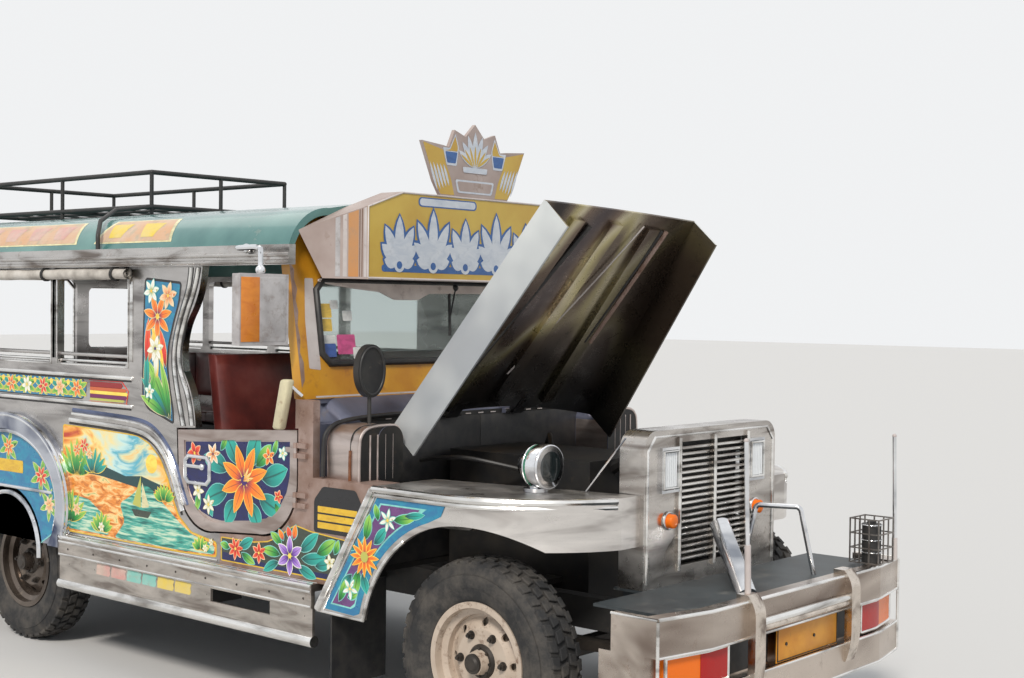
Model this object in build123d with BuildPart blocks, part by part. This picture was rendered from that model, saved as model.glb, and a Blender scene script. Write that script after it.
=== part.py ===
from build123d import *
import os
from math import cos, radians, sin, sqrt

# Jeepney: a long-bodied passenger jeep. +X is forward, +Y is its left, +Z is up, in millimetres.
# The origin is on the ground, midway between the front overriders and the rear step tube.

# Running gear
WHEELBASE = 3000.0
FRONT_X = 1930.0
REAR_X = FRONT_X - WHEELBASE
TYRE_R = 378.0
HUB_Z = TYRE_R
TYRE_WIDTH = 190.0
BODY_HALF = 930.0
WHEEL_Y = BODY_HALF - 148.0
KINGPIN_Y = WHEEL_Y - 122.0
RIM_HALF = 78.0
RIM_FLANGE_R = 220.5
BEAD_R = 204.0
WELL_R = 178.0
RIM_WALL = 6.0
DRUM_R = 150.0
DRUM_DEPTH = 46.0
HUB_R = 48.0
HUB_NOSE = 86.0
SPINDLE_R = 22.0
RUN_CLEAR = 0.05
VENT_R = 15.0
VENT_RING_R = 148.0
VENT_COUNT = 8
KINGPIN_R = 12.0
KING_BOSS_R = 34.0
STEER_ARM = 150.0
ROD_PIN_R = 8.0
ROD_Z = 296.0
ROD_R = 11.0

# Frame under the body
RAIL_Y = 375.0
RAIL_WIDTH = 60.0
RAIL_BOTTOM = 455.0
RAIL_TOP = 575.0
RAIL_REAR_X = -2690.0
RAIL_WALL = 6.0
CROSS_WIDTH = 60.0
CROSS_HIGH = 40.0
SPRING_WIDTH = 60.0
LEAF = 10.0

# Body shell
WALL = 35.0
SIDE_IN = BODY_HALF - WALL
BODY_BOTTOM = RAIL_TOP
BODY_REAR_X = -2600.0
FLOOR = 25.0
FLOOR_TOP = RAIL_TOP + FLOOR
SIDE_TOP = 1820.0
SIDE_SEAM_X = 554.0
ROOF_HALF = BODY_HALF + 20.0
ROOF_WALL = 30.0
ROOF_GUTTER_Z = 1895.0
ROOF_SHOULDER_Y = ROOF_HALF - 210.0
ROOF_SHOULDER_Z = 2050.0
ROOF_CROWN_Z = 2112.0
ROOF_FRONT_X = 1000.0
SCREEN_X = 1055.0
SCREEN_DEPTH = 50.0
SCREEN_RAKE = 0.16
WINDOW_FRONT_X = -110.0
WINDOW_LENGTH = 560.0
WINDOW_PITCH = 620.0
WINDOW_COUNT = 4
WINDOW_SILL_Z = 1375.0
WINDOW_TOP_Z = 1790.0
SEAM = 0.3

# Doors
DOOR_TOP = 1117.0
DOOR_TOP_RISE = 46.0
DOOR_REAR_X = 262.0
DOOR_FRONT_X = 1035.0
DOOR_BOTTOM = 708.0
DOOR_GAP = 8.0
DOOR_THICK = 32.0
DOOR_FRAME = 42.0
DOOR_RECESS = 6.0
DOOR_HINGE_X = DOOR_FRONT_X + 6.0
DOOR_HINGE_Y = BODY_HALF + 14.0
HINGE_R = 9.0
HINGE_PIN_R = 4.0
DOOR_HINGE_LOW_Z = 890.0
DOOR_HINGE_HIGH_Z = 1085.0
HINGE_LENGTH = 60.0

# Nose
COWL_X = 1165.0
COWL_HALF = BODY_HALF - 130.0
COWL_TOP = 1285.0
COWL_FRONT_TOP = 1215.0
COWL_WALL = 20.0
COWL_ROUND = 60.0
LEDGE_Z = 965.0
HOOD_X = 1180.0
HOOD_Z = 1200.0
HOOD_OPEN = 49.0
HOOD_LENGTH = 1131.0
HOOD_REAR_GAP = 40.0
HOOD_REAR_HALF = COWL_HALF - 160.0
HOOD_FRONT_HALF = 478.0
HOOD_REAR_CROWN = 87.0
HOOD_FRONT_CROWN = 8.0
HOOD_TWIST = 3.0
HOOD_FLANGE = 160.0
HOOD_SHEET = 10.0
HOOD_RIB = 22.0
HOOD_RIB_WIDTH = 70.0
HOOD_STRAP_Y = 210.0
HOOD_STRAP_WIDTH = 68.0
HOOD_LUG = 30.0
FENDER_TOP = 985.0
FENDER_SHEET = 18.0
FENDER_SKIRT = 185.0
FENDER_OUT = BODY_HALF + 20.0
FENDER_REAR_X = FRONT_X - 440.0
ARCH_R = 500.0
GRILLE_X = 2370.0
GRILLE_DEPTH = 110.0
GRILLE_HALF = 450.0
GRILLE_TOP = 1215.0
GRILLE_SHEET = 22.0
DECK_Z = 640.0
DECK_SHEET = 10.0
BUMPER_X = GRILLE_X + 400.0
RAIL_FRONT_X = BUMPER_X - 80.0
BUMPER_HALF = 850.0
BUMPER_TOP = 650.0
BUMPER_MID_TOP = 520.0
BUMPER_MID_LOW = 390.0
BUMPER_LOW = 270.0
BUMPER_SUNK = 50.0

# Outside fittings
BOARD_FRONT_X = 1165.0
BOARD_REAR_X = -600.0
BOARD_OUT = BODY_HALF + 35.0
BOARD_TOP = BODY_BOTTOM
BOARD_PLATE = 30.0
BOARD_LIP_LOW = 480.0
BOARD_APRON_LOW = 365.0
BOARD_TUBE_R = 22.0
RACK_FRONT_X = -650.0
RACK_BAY = 790.0
RACK_BAYS = 2
RACK_HALF = 424.0
RACK_LOW_Z = 2132.0
RACK_HIGH_Z = 2302.0
RACK_TUBE_R = 12.0
SIGN_X = 1130.0
SIGN_HALF = 650.0
SIGN_LOW = 1765.0
SIGN_SHOULDER = 2060.0
SIGN_TOP = 2130.0

# The four wheels: name, place along the car, side (-1 is the right)
WHEELS = [
    ("front_right", FRONT_X, -1),
    ("front_left", FRONT_X, 1),
    ("rear_right", REAR_X, -1),
    ("rear_left", REAR_X, 1),
]


def block(low, high, mode=Mode.ADD):
    """Box between two opposite corners."""
    with Locations(tuple((a + b) / 2 for a, b in zip(low, high))):
        Box(*(b - a for a, b in zip(low, high)), mode=mode)


def rod(start, end, radius, mode=Mode.ADD):
    """Round bar between two points."""
    start, end = Vector(*start), Vector(*end)
    with BuildSketch(Plane(origin=start, z_dir=end - start)) as section:
        Circle(radius)
    extrude(section.sketch, amount=(end - start).length, mode=mode)


def bent(points, bend, radius):
    """Round bar along straight runs joined by arcs."""
    with BuildLine() as path:
        FilletPolyline(*points, radius=bend)
    with BuildSketch(Plane(origin=path.line @ 0, z_dir=path.line % 0)) as section:
        Circle(radius)
    sweep(section.sketch, path=path.line)


def side_plate(points, out, thick, mode=Mode.ADD):
    """Flat plate on the right side from its (x, z) outline; its outer face is out from the middle."""
    with BuildSketch(Plane.XZ.offset(out)) as outline:
        with BuildLine():
            Polyline(*points, close=True)
        make_face()
    extrude(outline.sketch, amount=-thick, mode=mode)


def cross_plate(points, x, thick, mode=Mode.ADD):
    """Flat plate across the car from its (y, z) outline, reaching forward from x."""
    with BuildSketch(Plane.YZ.offset(x)) as outline:
        with BuildLine():
            Polyline(*points, close=True)
        make_face()
    extrude(outline.sketch, amount=thick, mode=mode)


def save(builder, label):
    """Labels a finished piece and writes it."""
    builder.part.label = label
    export_step(builder.part, f"parts/{label}.step")


os.makedirs("parts", exist_ok=True)

# Ladder frame: two channels open inward, cross members, spring hangers and outriggers
SPRING_HALF = {FRONT_X: 550.0, REAR_X: 620.0}
SPRING_TOP = {FRONT_X: 410.0, REAR_X: HUB_Z - 45.0}
SPRING_RISE = {FRONT_X: 32.0, REAR_X: 85.0}
EYE_R = 16.0
HANGER = 7.0
with BuildPart() as chassis_frame:
    with BuildSketch(Plane.YZ.offset(RAIL_REAR_X)) as channel:
        for side in (-1, 1):
            with Locations((side * RAIL_Y, (RAIL_BOTTOM + RAIL_TOP) / 2)):
                Rectangle(RAIL_WIDTH, RAIL_TOP - RAIL_BOTTOM)
            with Locations((side * (RAIL_Y - RAIL_WALL), (RAIL_BOTTOM + RAIL_TOP) / 2)):
                Rectangle(RAIL_WIDTH, RAIL_TOP - RAIL_BOTTOM - 2 * RAIL_WALL, mode=Mode.SUBTRACT)
    extrude(amount=RAIL_FRONT_X - RAIL_REAR_X)
    rail_in = RAIL_Y - RAIL_WIDTH / 2
    rail_out = RAIL_Y + RAIL_WIDTH / 2
    web_in = rail_out - RAIL_WALL
    for x in (2560.0, 2240.0, 760.0, -120.0, -640.0, -1720.0, -2560.0):
        low = (x - CROSS_WIDTH / 2, -web_in, RAIL_TOP - RAIL_WALL - CROSS_HIGH)
        high = (x + CROSS_WIDTH / 2, web_in, RAIL_TOP - RAIL_WALL)
        block(low, high)
    for axle_x, half in SPRING_HALF.items():
        eye_z = SPRING_TOP[axle_x] + SPRING_RISE[axle_x] - EYE_R
        for end in (-1, 1):
            for side in (-1, 1):
                for cheek in (-1, 1):
                    face = side * RAIL_Y + cheek * (SPRING_WIDTH / 2 + HANGER / 2)
                    middle = axle_x + end * half
                    low = (middle - 26, face - HANGER / 2, eye_z - 26)
                    high = (middle + 26, face + HANGER / 2, RAIL_BOTTOM + 25)
                    block(low, high)
    for x in (980.0, 360.0, -260.0):
        for side in (-1, 1):
            near, far = sorted((side * rail_out, side * (BOARD_OUT - 90)))
            block((x - 25, near, BOARD_TOP - 70), (x + 25, far, BOARD_TOP - BOARD_PLATE))
save(chassis_frame, "chassis_frame")

# Leaf springs: stacks of concentric leaves, each shorter than the one above it
with BuildPart() as leaf_springs:
    for axle_x, half in SPRING_HALF.items():
        top, rise = SPRING_TOP[axle_x], SPRING_RISE[axle_x]
        curve_r = (half**2 + rise**2) / (2 * rise)
        centre_z = top + curve_r
        spread = Axis.Z.direction.get_angle(Vector(half, 0, curve_r - rise))
        for leaf in range(4):
            inner, outer = curve_r + leaf * LEAF, curve_r + (leaf + 1) * LEAF
            sweep_angle = spread * (1 - 0.2 * leaf)
            with BuildSketch(Plane.XZ.offset(-RAIL_Y - SPRING_WIDTH / 2)):
                with BuildLine():
                    low = CenterArc((axle_x, centre_z), outer, 270 - sweep_angle, 2 * sweep_angle)
                    up = CenterArc((axle_x, centre_z), inner, 270 - sweep_angle, 2 * sweep_angle)
                    Line(low @ 0, up @ 0)
                    Line(low @ 1, up @ 1)
                make_face()
            extrude(amount=SPRING_WIDTH)
        for end in (-1, 1):
            x, z = axle_x + end * half, top + rise - EYE_R
            rod((x, RAIL_Y - SPRING_WIDTH / 2, z), (x, RAIL_Y + SPRING_WIDTH / 2, z), EYE_R)
    mirror(about=Plane.XZ)
save(leaf_springs, "leaf_springs")

# Front axle: a dropped beam that ends in two bored kingpin bosses
BEAM_TOP = SPRING_TOP[FRONT_X] - 4 * LEAF
BOSS_LOW, BOSS_HIGH = 340.0, 416.0
with BuildPart() as front_axle:
    half_beam = [(0, BEAM_TOP), (430, BEAM_TOP), (560, 404), (KINGPIN_Y, 404)]
    half_beam += [(KINGPIN_Y, 352), (560, 352), (430, BEAM_TOP - 60), (0, BEAM_TOP - 60)]
    cross_plate(half_beam, FRONT_X - 28, 56)
    mirror(about=Plane.XZ)
    for side in (-1, 1):
        rod((FRONT_X, side * KINGPIN_Y, BOSS_LOW), (FRONT_X, side * KINGPIN_Y, BOSS_HIGH), KING_BOSS_R)
        low, high = BOSS_LOW - 1, BOSS_HIGH + 1
        bore = KINGPIN_R + RUN_CLEAR
        rod((FRONT_X, side * KINGPIN_Y, low), (FRONT_X, side * KINGPIN_Y, high), bore, Mode.SUBTRACT)
save(front_axle, "front_axle")

# Steering knuckles: a fork round the boss, its kingpin, the wheel spindle, brake plate and arm
EAR = 24.0
WEB_Y = KINGPIN_Y + KING_BOSS_R + 8
PLATE_Y = WEB_Y + 22
PLATE = 6.0
with BuildPart() as knuckle_right:
    ear_top, ear_low = BOSS_HIGH + SEAM, BOSS_LOW - SEAM
    for z in (ear_top, ear_low - EAR):
        rod((FRONT_X, -KINGPIN_Y, z), (FRONT_X, -KINGPIN_Y, z + EAR), KING_BOSS_R)
        half = KING_BOSS_R
        block((FRONT_X - half, -PLATE_Y, z), (FRONT_X + half, -KINGPIN_Y, z + EAR))
    half = KING_BOSS_R
    block((FRONT_X - half, -PLATE_Y, ear_low - EAR), (FRONT_X + half, -WEB_Y, ear_top + EAR))
    rod((FRONT_X, -KINGPIN_Y, ear_low - EAR), (FRONT_X, -KINGPIN_Y, ear_top + EAR), KINGPIN_R)
    rod((FRONT_X, -PLATE_Y, HUB_Z), (FRONT_X, -PLATE_Y - PLATE, HUB_Z), DRUM_R + 5)
    rod((FRONT_X, -PLATE_Y, HUB_Z), (FRONT_X, -WHEEL_Y - 55, HUB_Z), SPINDLE_R)
    arm_top, arm_low = ear_low, ear_low - EAR
    block((FRONT_X - STEER_ARM, -KINGPIN_Y - 14, arm_low), (FRONT_X, -KINGPIN_Y + 14, arm_top))
    eye = FRONT_X - STEER_ARM
    rod((eye, -KINGPIN_Y, ROD_Z - 16), (eye, -KINGPIN_Y, arm_top), ROD_PIN_R)
save(knuckle_right, "knuckle_right")

with BuildPart() as knuckle_left:
    mirror(knuckle_right.part, about=Plane.XZ)
save(knuckle_left, "knuckle_left")

# Tie rod between the two steering arms
with BuildPart() as tie_rod:
    eye = FRONT_X - STEER_ARM
    rod((eye, -KINGPIN_Y, ROD_Z), (eye, KINGPIN_Y, ROD_Z), ROD_R)
    for side in (-1, 1):
        low, high = (eye, side * KINGPIN_Y, ROD_Z - 14), (eye, side * KINGPIN_Y, ROD_Z + 14)
        rod(low, high, 19)
    for side in (-1, 1):
        low, high = (eye, side * KINGPIN_Y, ROD_Z - 15), (eye, side * KINGPIN_Y, ROD_Z + 15)
        rod(low, high, ROD_PIN_R + RUN_CLEAR, Mode.SUBTRACT)
save(tie_rod, "tie_rod")

# Rear axle: a tube with the differential bowl, its nose, brake plates and spindles
AXLE_TUBE_R = 45.0
with BuildPart() as rear_axle:
    rod((REAR_X, -PLATE_Y, HUB_Z), (REAR_X, PLATE_Y, HUB_Z), AXLE_TUBE_R)
    with Locations((REAR_X, 0, HUB_Z)):
        Sphere(125)
    rod((REAR_X, 0, HUB_Z), (REAR_X + 200, 0, HUB_Z), 48)
    for side in (-1, 1):
        plate_y = side * PLATE_Y
        rod((REAR_X, plate_y, HUB_Z), (REAR_X, plate_y + side * PLATE, HUB_Z), DRUM_R + 5)
        rod((REAR_X, plate_y, HUB_Z), (REAR_X, side * (WHEEL_Y + 55), HUB_Z), SPINDLE_R)
save(rear_axle, "rear_axle")

# Wheels: rim, dished and vented disc, drum and hub turned as one section, with the bore blind
# Columns of each section table: distance out along the axle from the tyre's middle, radius
RIM_SECTION = [
    (-RIM_HALF, RIM_FLANGE_R),
    (-RIM_HALF + RIM_WALL, RIM_FLANGE_R),
    (-RIM_HALF + RIM_WALL, BEAD_R),
    (-42, BEAD_R - 4),
    (-32, WELL_R),
    (32, WELL_R),
    (42, BEAD_R - 4),
    (RIM_HALF - RIM_WALL, BEAD_R),
    (RIM_HALF - RIM_WALL, RIM_FLANGE_R),
    (RIM_HALF, RIM_FLANGE_R),
    (RIM_HALF, BEAD_R - RIM_WALL),
    (48, BEAD_R - 4 - RIM_WALL),
    (38, WELL_R - RIM_WALL),
    (-38, WELL_R - RIM_WALL),
    (-48, BEAD_R - 4 - RIM_WALL),
    (-RIM_HALF, BEAD_R - RIM_WALL),
]
DISC_SECTION = [
    (4, WELL_R - 1),
    (12, WELL_R - 1),
    (14, 160),
    (40, 118),
    (40, HUB_R),
    (HUB_NOSE, HUB_R - 8),
    (HUB_NOSE, 0),
    (-DRUM_DEPTH, 0),
    (-DRUM_DEPTH, HUB_R),
    (-12, HUB_R),
    (-12, DRUM_R - 9),
    (-DRUM_DEPTH, DRUM_R - 9),
    (-DRUM_DEPTH, DRUM_R),
    (-2, DRUM_R),
    (-2, 96),
    (32, 96),
    (32, 116),
    (6, 158),
]
TREAD_HALF = 78.0
TYRE_SECTION = [
    (-RIM_HALF + RIM_WALL + SEAM, BEAD_R + SEAM),
    (-RIM_HALF + RIM_WALL + SEAM, RIM_FLANGE_R + 3),
    (-90, 250),
    (-TYRE_WIDTH / 2, 290),
    (-90, 335),
    (-TREAD_HALF, TYRE_R - 8),
    (-40, TYRE_R),
    (40, TYRE_R),
    (TREAD_HALF, TYRE_R - 8),
    (90, 335),
    (TYRE_WIDTH / 2, 290),
    (90, 250),
    (RIM_HALF - RIM_WALL - SEAM, RIM_FLANGE_R + 3),
    (RIM_HALF - RIM_WALL - SEAM, BEAD_R + SEAM),
]


def turned(section, place, side):
    """Turns a section about the axle of the wheel at place; its table runs out along the axle."""
    plane = Plane(origin=place, x_dir=(1, 0, 0), z_dir=(0, 0, side))
    with BuildSketch(plane) as profile:
        with BuildLine():
            Polyline(*[(radius, out) for out, radius in section], close=True)
        make_face()
    revolve(profile.sketch, axis=Axis(place, (0, 1, 0)))


for name, wheel_x, side in WHEELS:
    middle = (wheel_x, side * WHEEL_Y, HUB_Z)
    with BuildPart() as wheel:
        turned(RIM_SECTION, middle, side)
        turned(DISC_SECTION, middle, side)
        inner = (wheel_x, side * (WHEEL_Y - DRUM_DEPTH - 1), HUB_Z)
        nose = (wheel_x, side * (WHEEL_Y + 60), HUB_Z)
        rod(inner, nose, SPINDLE_R + RUN_CLEAR, Mode.SUBTRACT)
        with BuildSketch(Plane(origin=middle, x_dir=(1, 0, 0), z_dir=(0, side, 0))) as vents:
            with PolarLocations(VENT_RING_R - 6, VENT_COUNT):
                Circle(VENT_R)
        extrude(vents.sketch, amount=60, mode=Mode.SUBTRACT)
    save(wheel, f"wheel_{name}")
    with BuildPart() as tyre:
        turned(TYRE_SECTION, middle, side)
    save(tyre, f"tyre_{name}")

# Engine and gearbox as one plain mass, hung on the rails, with the drive shaft behind it
with BuildPart() as engine_block:
    block((1215, -240, 480), (1960, 240, 1060))
    block((800, -120, 400), (1215, 120, 560))
    for x in (1320.0, 1760.0):
        block((x, -rail_out + 8, RAIL_TOP), (x + 70, rail_out - 8, RAIL_TOP + 22))
save(engine_block, "engine_block")

with BuildPart() as drive_shaft:
    rod((798, 0, 470), (REAR_X + 202, 0, HUB_Z), 32)
save(drive_shaft, "drive_shaft")

# Floor, notched for the rear wheels
WELL_HALF = 430.0
WELL_IN = WHEEL_Y - 142.0
with BuildPart() as floor:
    block((BODY_REAR_X, -SIDE_IN, RAIL_TOP), (COWL_X - COWL_WALL, SIDE_IN, FLOOR_TOP))
    for side in (-1, 1):
        near, far = sorted((side * WELL_IN, side * (SIDE_IN + 1)))
        low = (REAR_X - WELL_HALF, near, RAIL_TOP - 1)
        block(low, (REAR_X + WELL_HALF, far, FLOOR_TOP + 1), Mode.SUBTRACT)
save(floor, "floor")


def door_outline(out):
    """Half door in side view, its top rising forward and its lower corners round, grown by out."""
    rear, front = DOOR_REAR_X - out, DOOR_FRONT_X + out
    low, top = DOOR_BOTTOM - out, DOOR_TOP + out
    front_top = top + DOOR_TOP_RISE
    with BuildLine() as outline:
        Line((front, front_top), (rear, top))
        Line((rear, top), (rear + 12, low + 190))
        heel = ThreePointArc((rear + 12, low + 190), (rear + 72, low + 58), (rear + 256, low))
        sole = Line(heel @ 1, (front - 240, low + 20))
        ThreePointArc(sole @ 1, (front - 64, low + 92), (front, low + 235))
        Line((front, low + 235), (front, front_top))
    make_face(outline.edges())


# Half doors: a framed panel with a sunk field, a latch cup and two hinge barrels
with BuildPart() as door_right:
    with BuildSketch(Plane.XZ.offset(BODY_HALF)) as skin:
        door_outline(0)
    extrude(skin.sketch, amount=-DOOR_THICK)
    with BuildSketch(Plane.XZ.offset(BODY_HALF)) as field:
        door_outline(-DOOR_FRAME)
    extrude(field.sketch, amount=-DOOR_RECESS, mode=Mode.SUBTRACT)
    with BuildSketch(Plane.XZ.offset(BODY_HALF)) as cup:
        with Locations((DOOR_REAR_X + 136, DOOR_TOP - 162)):
            RectangleRounded(160, 108, 24)
    extrude(cup.sketch, amount=-22, mode=Mode.SUBTRACT)
    for z in (DOOR_HINGE_LOW_Z, DOOR_HINGE_HIGH_Z):
        mid = HINGE_LENGTH / 3
        axis_x, axis_y = DOOR_HINGE_X, -DOOR_HINGE_Y
        block((axis_x - 60, axis_y, z - mid / 2), (axis_x, -BODY_HALF, z + mid / 2))
        rod((axis_x, axis_y, z - mid / 2), (axis_x, axis_y, z + mid / 2), HINGE_R)
        bore = HINGE_PIN_R + RUN_CLEAR
        rod((axis_x, axis_y, z - mid), (axis_x, axis_y, z + mid), bore, Mode.SUBTRACT)
save(door_right, "door_right")

with BuildPart() as door_left:
    mirror(door_right.part, about=Plane.XZ)
save(door_left, "door_left")

# Front quarters: the wall round the door's lower front, the hinge pillar and the ledge by the cowl
PILLAR_REAR_X = DOOR_FRONT_X - 10
PILLAR_FRONT_X = 1130.0
with BuildPart() as cowl_sides:
    quarter = [(SIDE_SEAM_X, BODY_BOTTOM), (1250, BODY_BOTTOM), (FENDER_REAR_X, LEDGE_Z)]
    quarter += [(PILLAR_FRONT_X, LEDGE_Z), (PILLAR_FRONT_X, COWL_TOP), (PILLAR_REAR_X, COWL_TOP)]
    quarter += [(PILLAR_REAR_X, 1000), (SIDE_SEAM_X, 820)]
    side_plate(quarter, BODY_HALF, WALL)
    with BuildSketch(Plane.XZ.offset(BODY_HALF + 1)) as hole:
        door_outline(DOOR_GAP)
    extrude(hole.sketch, amount=-WALL - 2, mode=Mode.SUBTRACT)
    block((COWL_X, -BODY_HALF, LEDGE_Z), (FENDER_REAR_X, -COWL_HALF, FENDER_TOP - 1))
    block((PILLAR_FRONT_X - 4, -BODY_HALF, LEDGE_Z), (COWL_X, -COWL_HALF, FENDER_TOP - 1))
    for z in (DOOR_HINGE_LOW_Z, DOOR_HINGE_HIGH_Z):
        axis_x, axis_y = DOOR_HINGE_X, -DOOR_HINGE_Y
        third = HINGE_LENGTH / 3
        for end in (-1, 1):
            low, high = sorted((z + end * (third / 2 + SEAM), z + end * third * 1.5))
            block((axis_x, axis_y, low), (axis_x + 60, -BODY_HALF, high))
            rod((axis_x, axis_y, low), (axis_x, axis_y, high), HINGE_R)
        rod((axis_x, axis_y, z - third), (axis_x, axis_y, z + third), HINGE_PIN_R)
    mirror(about=Plane.XZ)
save(cowl_sides, "cowl_sides")

# Body sides: one wall from the rear end to the door opening, with the swept front post
ARCH_OPEN_R = 265.0
ARCH_OPEN_Z = 460.0
BAR_R = 9.0
with BuildPart() as body_side_right:
    with BuildSketch(Plane.XZ.offset(BODY_HALF)) as wall:
        with BuildLine():
            Line((BODY_REAR_X, SIDE_TOP), (BODY_REAR_X, BODY_BOTTOM))
            Line((BODY_REAR_X, BODY_BOTTOM), (SIDE_SEAM_X, BODY_BOTTOM))
            Line((SIDE_SEAM_X, BODY_BOTTOM), (SIDE_SEAM_X, 820))
            Line((SIDE_SEAM_X, 820), (384, DOOR_TOP + 15))
            low = ThreePointArc((384, DOOR_TOP + 15), (365, 1246), (300, 1368))
            waist = ThreePointArc(low @ 1, (290, 1470), (340, 1604))
            high = ThreePointArc(waist @ 1, (405, 1720), (425, SIDE_TOP))
            Line(high @ 1, (BODY_REAR_X, SIDE_TOP))
        make_face()
        for count in range(WINDOW_COUNT):
            middle_x = WINDOW_FRONT_X - count * WINDOW_PITCH - WINDOW_LENGTH / 2
            with Locations((middle_x, (WINDOW_SILL_Z + WINDOW_TOP_Z) / 2)):
                height = WINDOW_TOP_Z - WINDOW_SILL_Z
                RectangleRounded(WINDOW_LENGTH, height, 28, mode=Mode.SUBTRACT)
        with Locations((REAR_X, ARCH_OPEN_Z)):
            Circle(ARCH_OPEN_R, mode=Mode.SUBTRACT)
    extrude(wall.sketch, amount=-WALL)
    with BuildSketch(Plane.XZ.offset(BODY_HALF + 1)) as hole:
        door_outline(DOOR_GAP)
    extrude(hole.sketch, amount=-WALL - 2, mode=Mode.SUBTRACT)
    for count in range(WINDOW_COUNT):
        front = WINDOW_FRONT_X - count * WINDOW_PITCH
        bar_y, bar_z = -BODY_HALF + WALL / 2, WINDOW_SILL_Z + 42
        rod((front + 5, bar_y, bar_z), (front - WINDOW_LENGTH - 5, bar_y, bar_z), BAR_R)
save(body_side_right, "body_side_right")

with BuildPart() as body_side_left:
    mirror(body_side_right.part, about=Plane.XZ)
save(body_side_left, "body_side_left")

# Rear wheel arches: a sunk plate inside a full, half-round chrome rim
ARCH_HALF = 530.0
ARCH_RISE = 420.0
ARCH_MID_Z = 700.0
ARCH_RIM = 78.0
ARCH_LOW = 515.0
with BuildPart() as rear_arches:
    with BuildSketch(Plane.XZ.offset(BODY_HALF)) as plate:
        with Locations((REAR_X, ARCH_MID_Z)):
            Ellipse(ARCH_HALF, ARCH_RISE)
        with Locations((REAR_X, ARCH_LOW - 200)):
            Rectangle(1400, 400, mode=Mode.SUBTRACT)
        with Locations((REAR_X, ARCH_OPEN_Z)):
            Circle(ARCH_OPEN_R, mode=Mode.SUBTRACT)
    extrude(plate.sketch, amount=14)
    with BuildSketch(Plane.XZ.offset(BODY_HALF)) as rim:
        with Locations((REAR_X, ARCH_MID_Z)):
            Ellipse(ARCH_HALF, ARCH_RISE)
            Ellipse(ARCH_HALF - ARCH_RIM, ARCH_RISE - ARCH_RIM, mode=Mode.SUBTRACT)
        with Locations((REAR_X, ARCH_LOW - 200)):
            Rectangle(1400, 400, mode=Mode.SUBTRACT)
    extrude(rim.sketch, amount=40)
    board_low = (BOARD_REAR_X - SEAM, -BOARD_OUT - 60, ARCH_LOW - 50)
    board_high = (REAR_X + ARCH_HALF + 70, -BODY_HALF + 10, BOARD_TOP + SEAM)
    block(board_low, board_high, Mode.SUBTRACT)
    mirror(about=Plane.XZ)
save(rear_arches, "rear_arches")


def roof_section(inset, low):
    """Roof in cross section, closed straight across at the height low, shrunk by inset."""
    half, shoulder = ROOF_HALF - inset, ROOF_SHOULDER_Y - inset / 3
    gutter, top = ROOF_GUTTER_Z, ROOF_SHOULDER_Z - inset
    crown = ROOF_CROWN_Z - inset
    round_y = shoulder + 0.72 * (half - shoulder)
    round_z = gutter + 0.62 * (top - gutter)
    with BuildLine() as outline:
        Line((-half, low), (-half, gutter))
        ThreePointArc((-half, gutter), (-round_y, round_z), (-shoulder, top))
        ThreePointArc((-shoulder, top), (0, crown), (shoulder, top))
        ThreePointArc((shoulder, top), (round_y, round_z), (half, gutter))
        Line((half, gutter), (half, low))
        Line((half, low), (-half, low))
    make_face(outline.edges())


# Roof: one rounded shell
with BuildPart() as roof_shell:
    with BuildSketch(Plane.YZ.offset(BODY_REAR_X)) as outside:
        roof_section(0, SIDE_TOP)
    extrude(outside.sketch, amount=ROOF_FRONT_X - BODY_REAR_X)
    with BuildSketch(Plane.YZ.offset(BODY_REAR_X - 1)) as inside:
        roof_section(ROOF_WALL, SIDE_TOP - 1)
    extrude(inside.sketch, amount=ROOF_FRONT_X - BODY_REAR_X + 2, mode=Mode.SUBTRACT)
save(roof_shell, "roof_shell")

# Gutters: two-ribbed rails along both roof edges
GUTTER_LOW = 1815.0
GUTTER_OUT = ROOF_HALF + 32.0
GUTTER_FRONT_X = ROOF_FRONT_X + 40.0
with BuildPart() as drip_rails:
    with BuildSketch(Plane.YZ.offset(BODY_REAR_X)) as section:
        with Locations((-(ROOF_HALF + GUTTER_OUT) / 2, (GUTTER_LOW + ROOF_GUTTER_Z) / 2)):
            Rectangle(GUTTER_OUT - ROOF_HALF, ROOF_GUTTER_Z - GUTTER_LOW)
        for z in (GUTTER_LOW + 12, GUTTER_LOW + 40):
            with Locations((-GUTTER_OUT, z)):
                Circle(9)
    extrude(section.sketch, amount=GUTTER_FRONT_X - BODY_REAR_X)
    mirror(about=Plane.XZ)
save(drip_rails, "drip_rails")

# Windscreen frame: a raked frame that fills the front of the roof, round a wide opening
SCREEN_HALF = BODY_HALF - 130.0
SCREEN_LOW = 1420.0
SCREEN_HIGH = 1760.0
SCREEN_ROUND = 50.0
GLASS = 6.0


def raked(front, depth):
    """Keeps what lies within depth behind the raked plane whose foot is at front."""
    rise = ROOF_CROWN_Z - COWL_TOP
    back = front - SCREEN_RAKE * rise
    slab = [(front, COWL_TOP), (back, COWL_TOP + rise)]
    slab += [(back - depth, COWL_TOP + rise), (front - depth, COWL_TOP)]
    side_plate(slab, ROOF_HALF, 2 * ROOF_HALF, Mode.INTERSECT)


with BuildPart() as windshield_frame:
    with BuildSketch(Plane.YZ.offset(SCREEN_X)) as ring:
        roof_section(ROOF_WALL + SEAM, COWL_TOP)
        with Locations((0, (SCREEN_LOW + SCREEN_HIGH) / 2)):
            RectangleRounded(2 * SCREEN_HALF, SCREEN_HIGH - SCREEN_LOW, SCREEN_ROUND, mode=Mode.SUBTRACT)
    extrude(ring.sketch, amount=-4 * SCREEN_DEPTH)
    raked(SCREEN_X, SCREEN_DEPTH)
save(windshield_frame, "windshield_frame")

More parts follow.
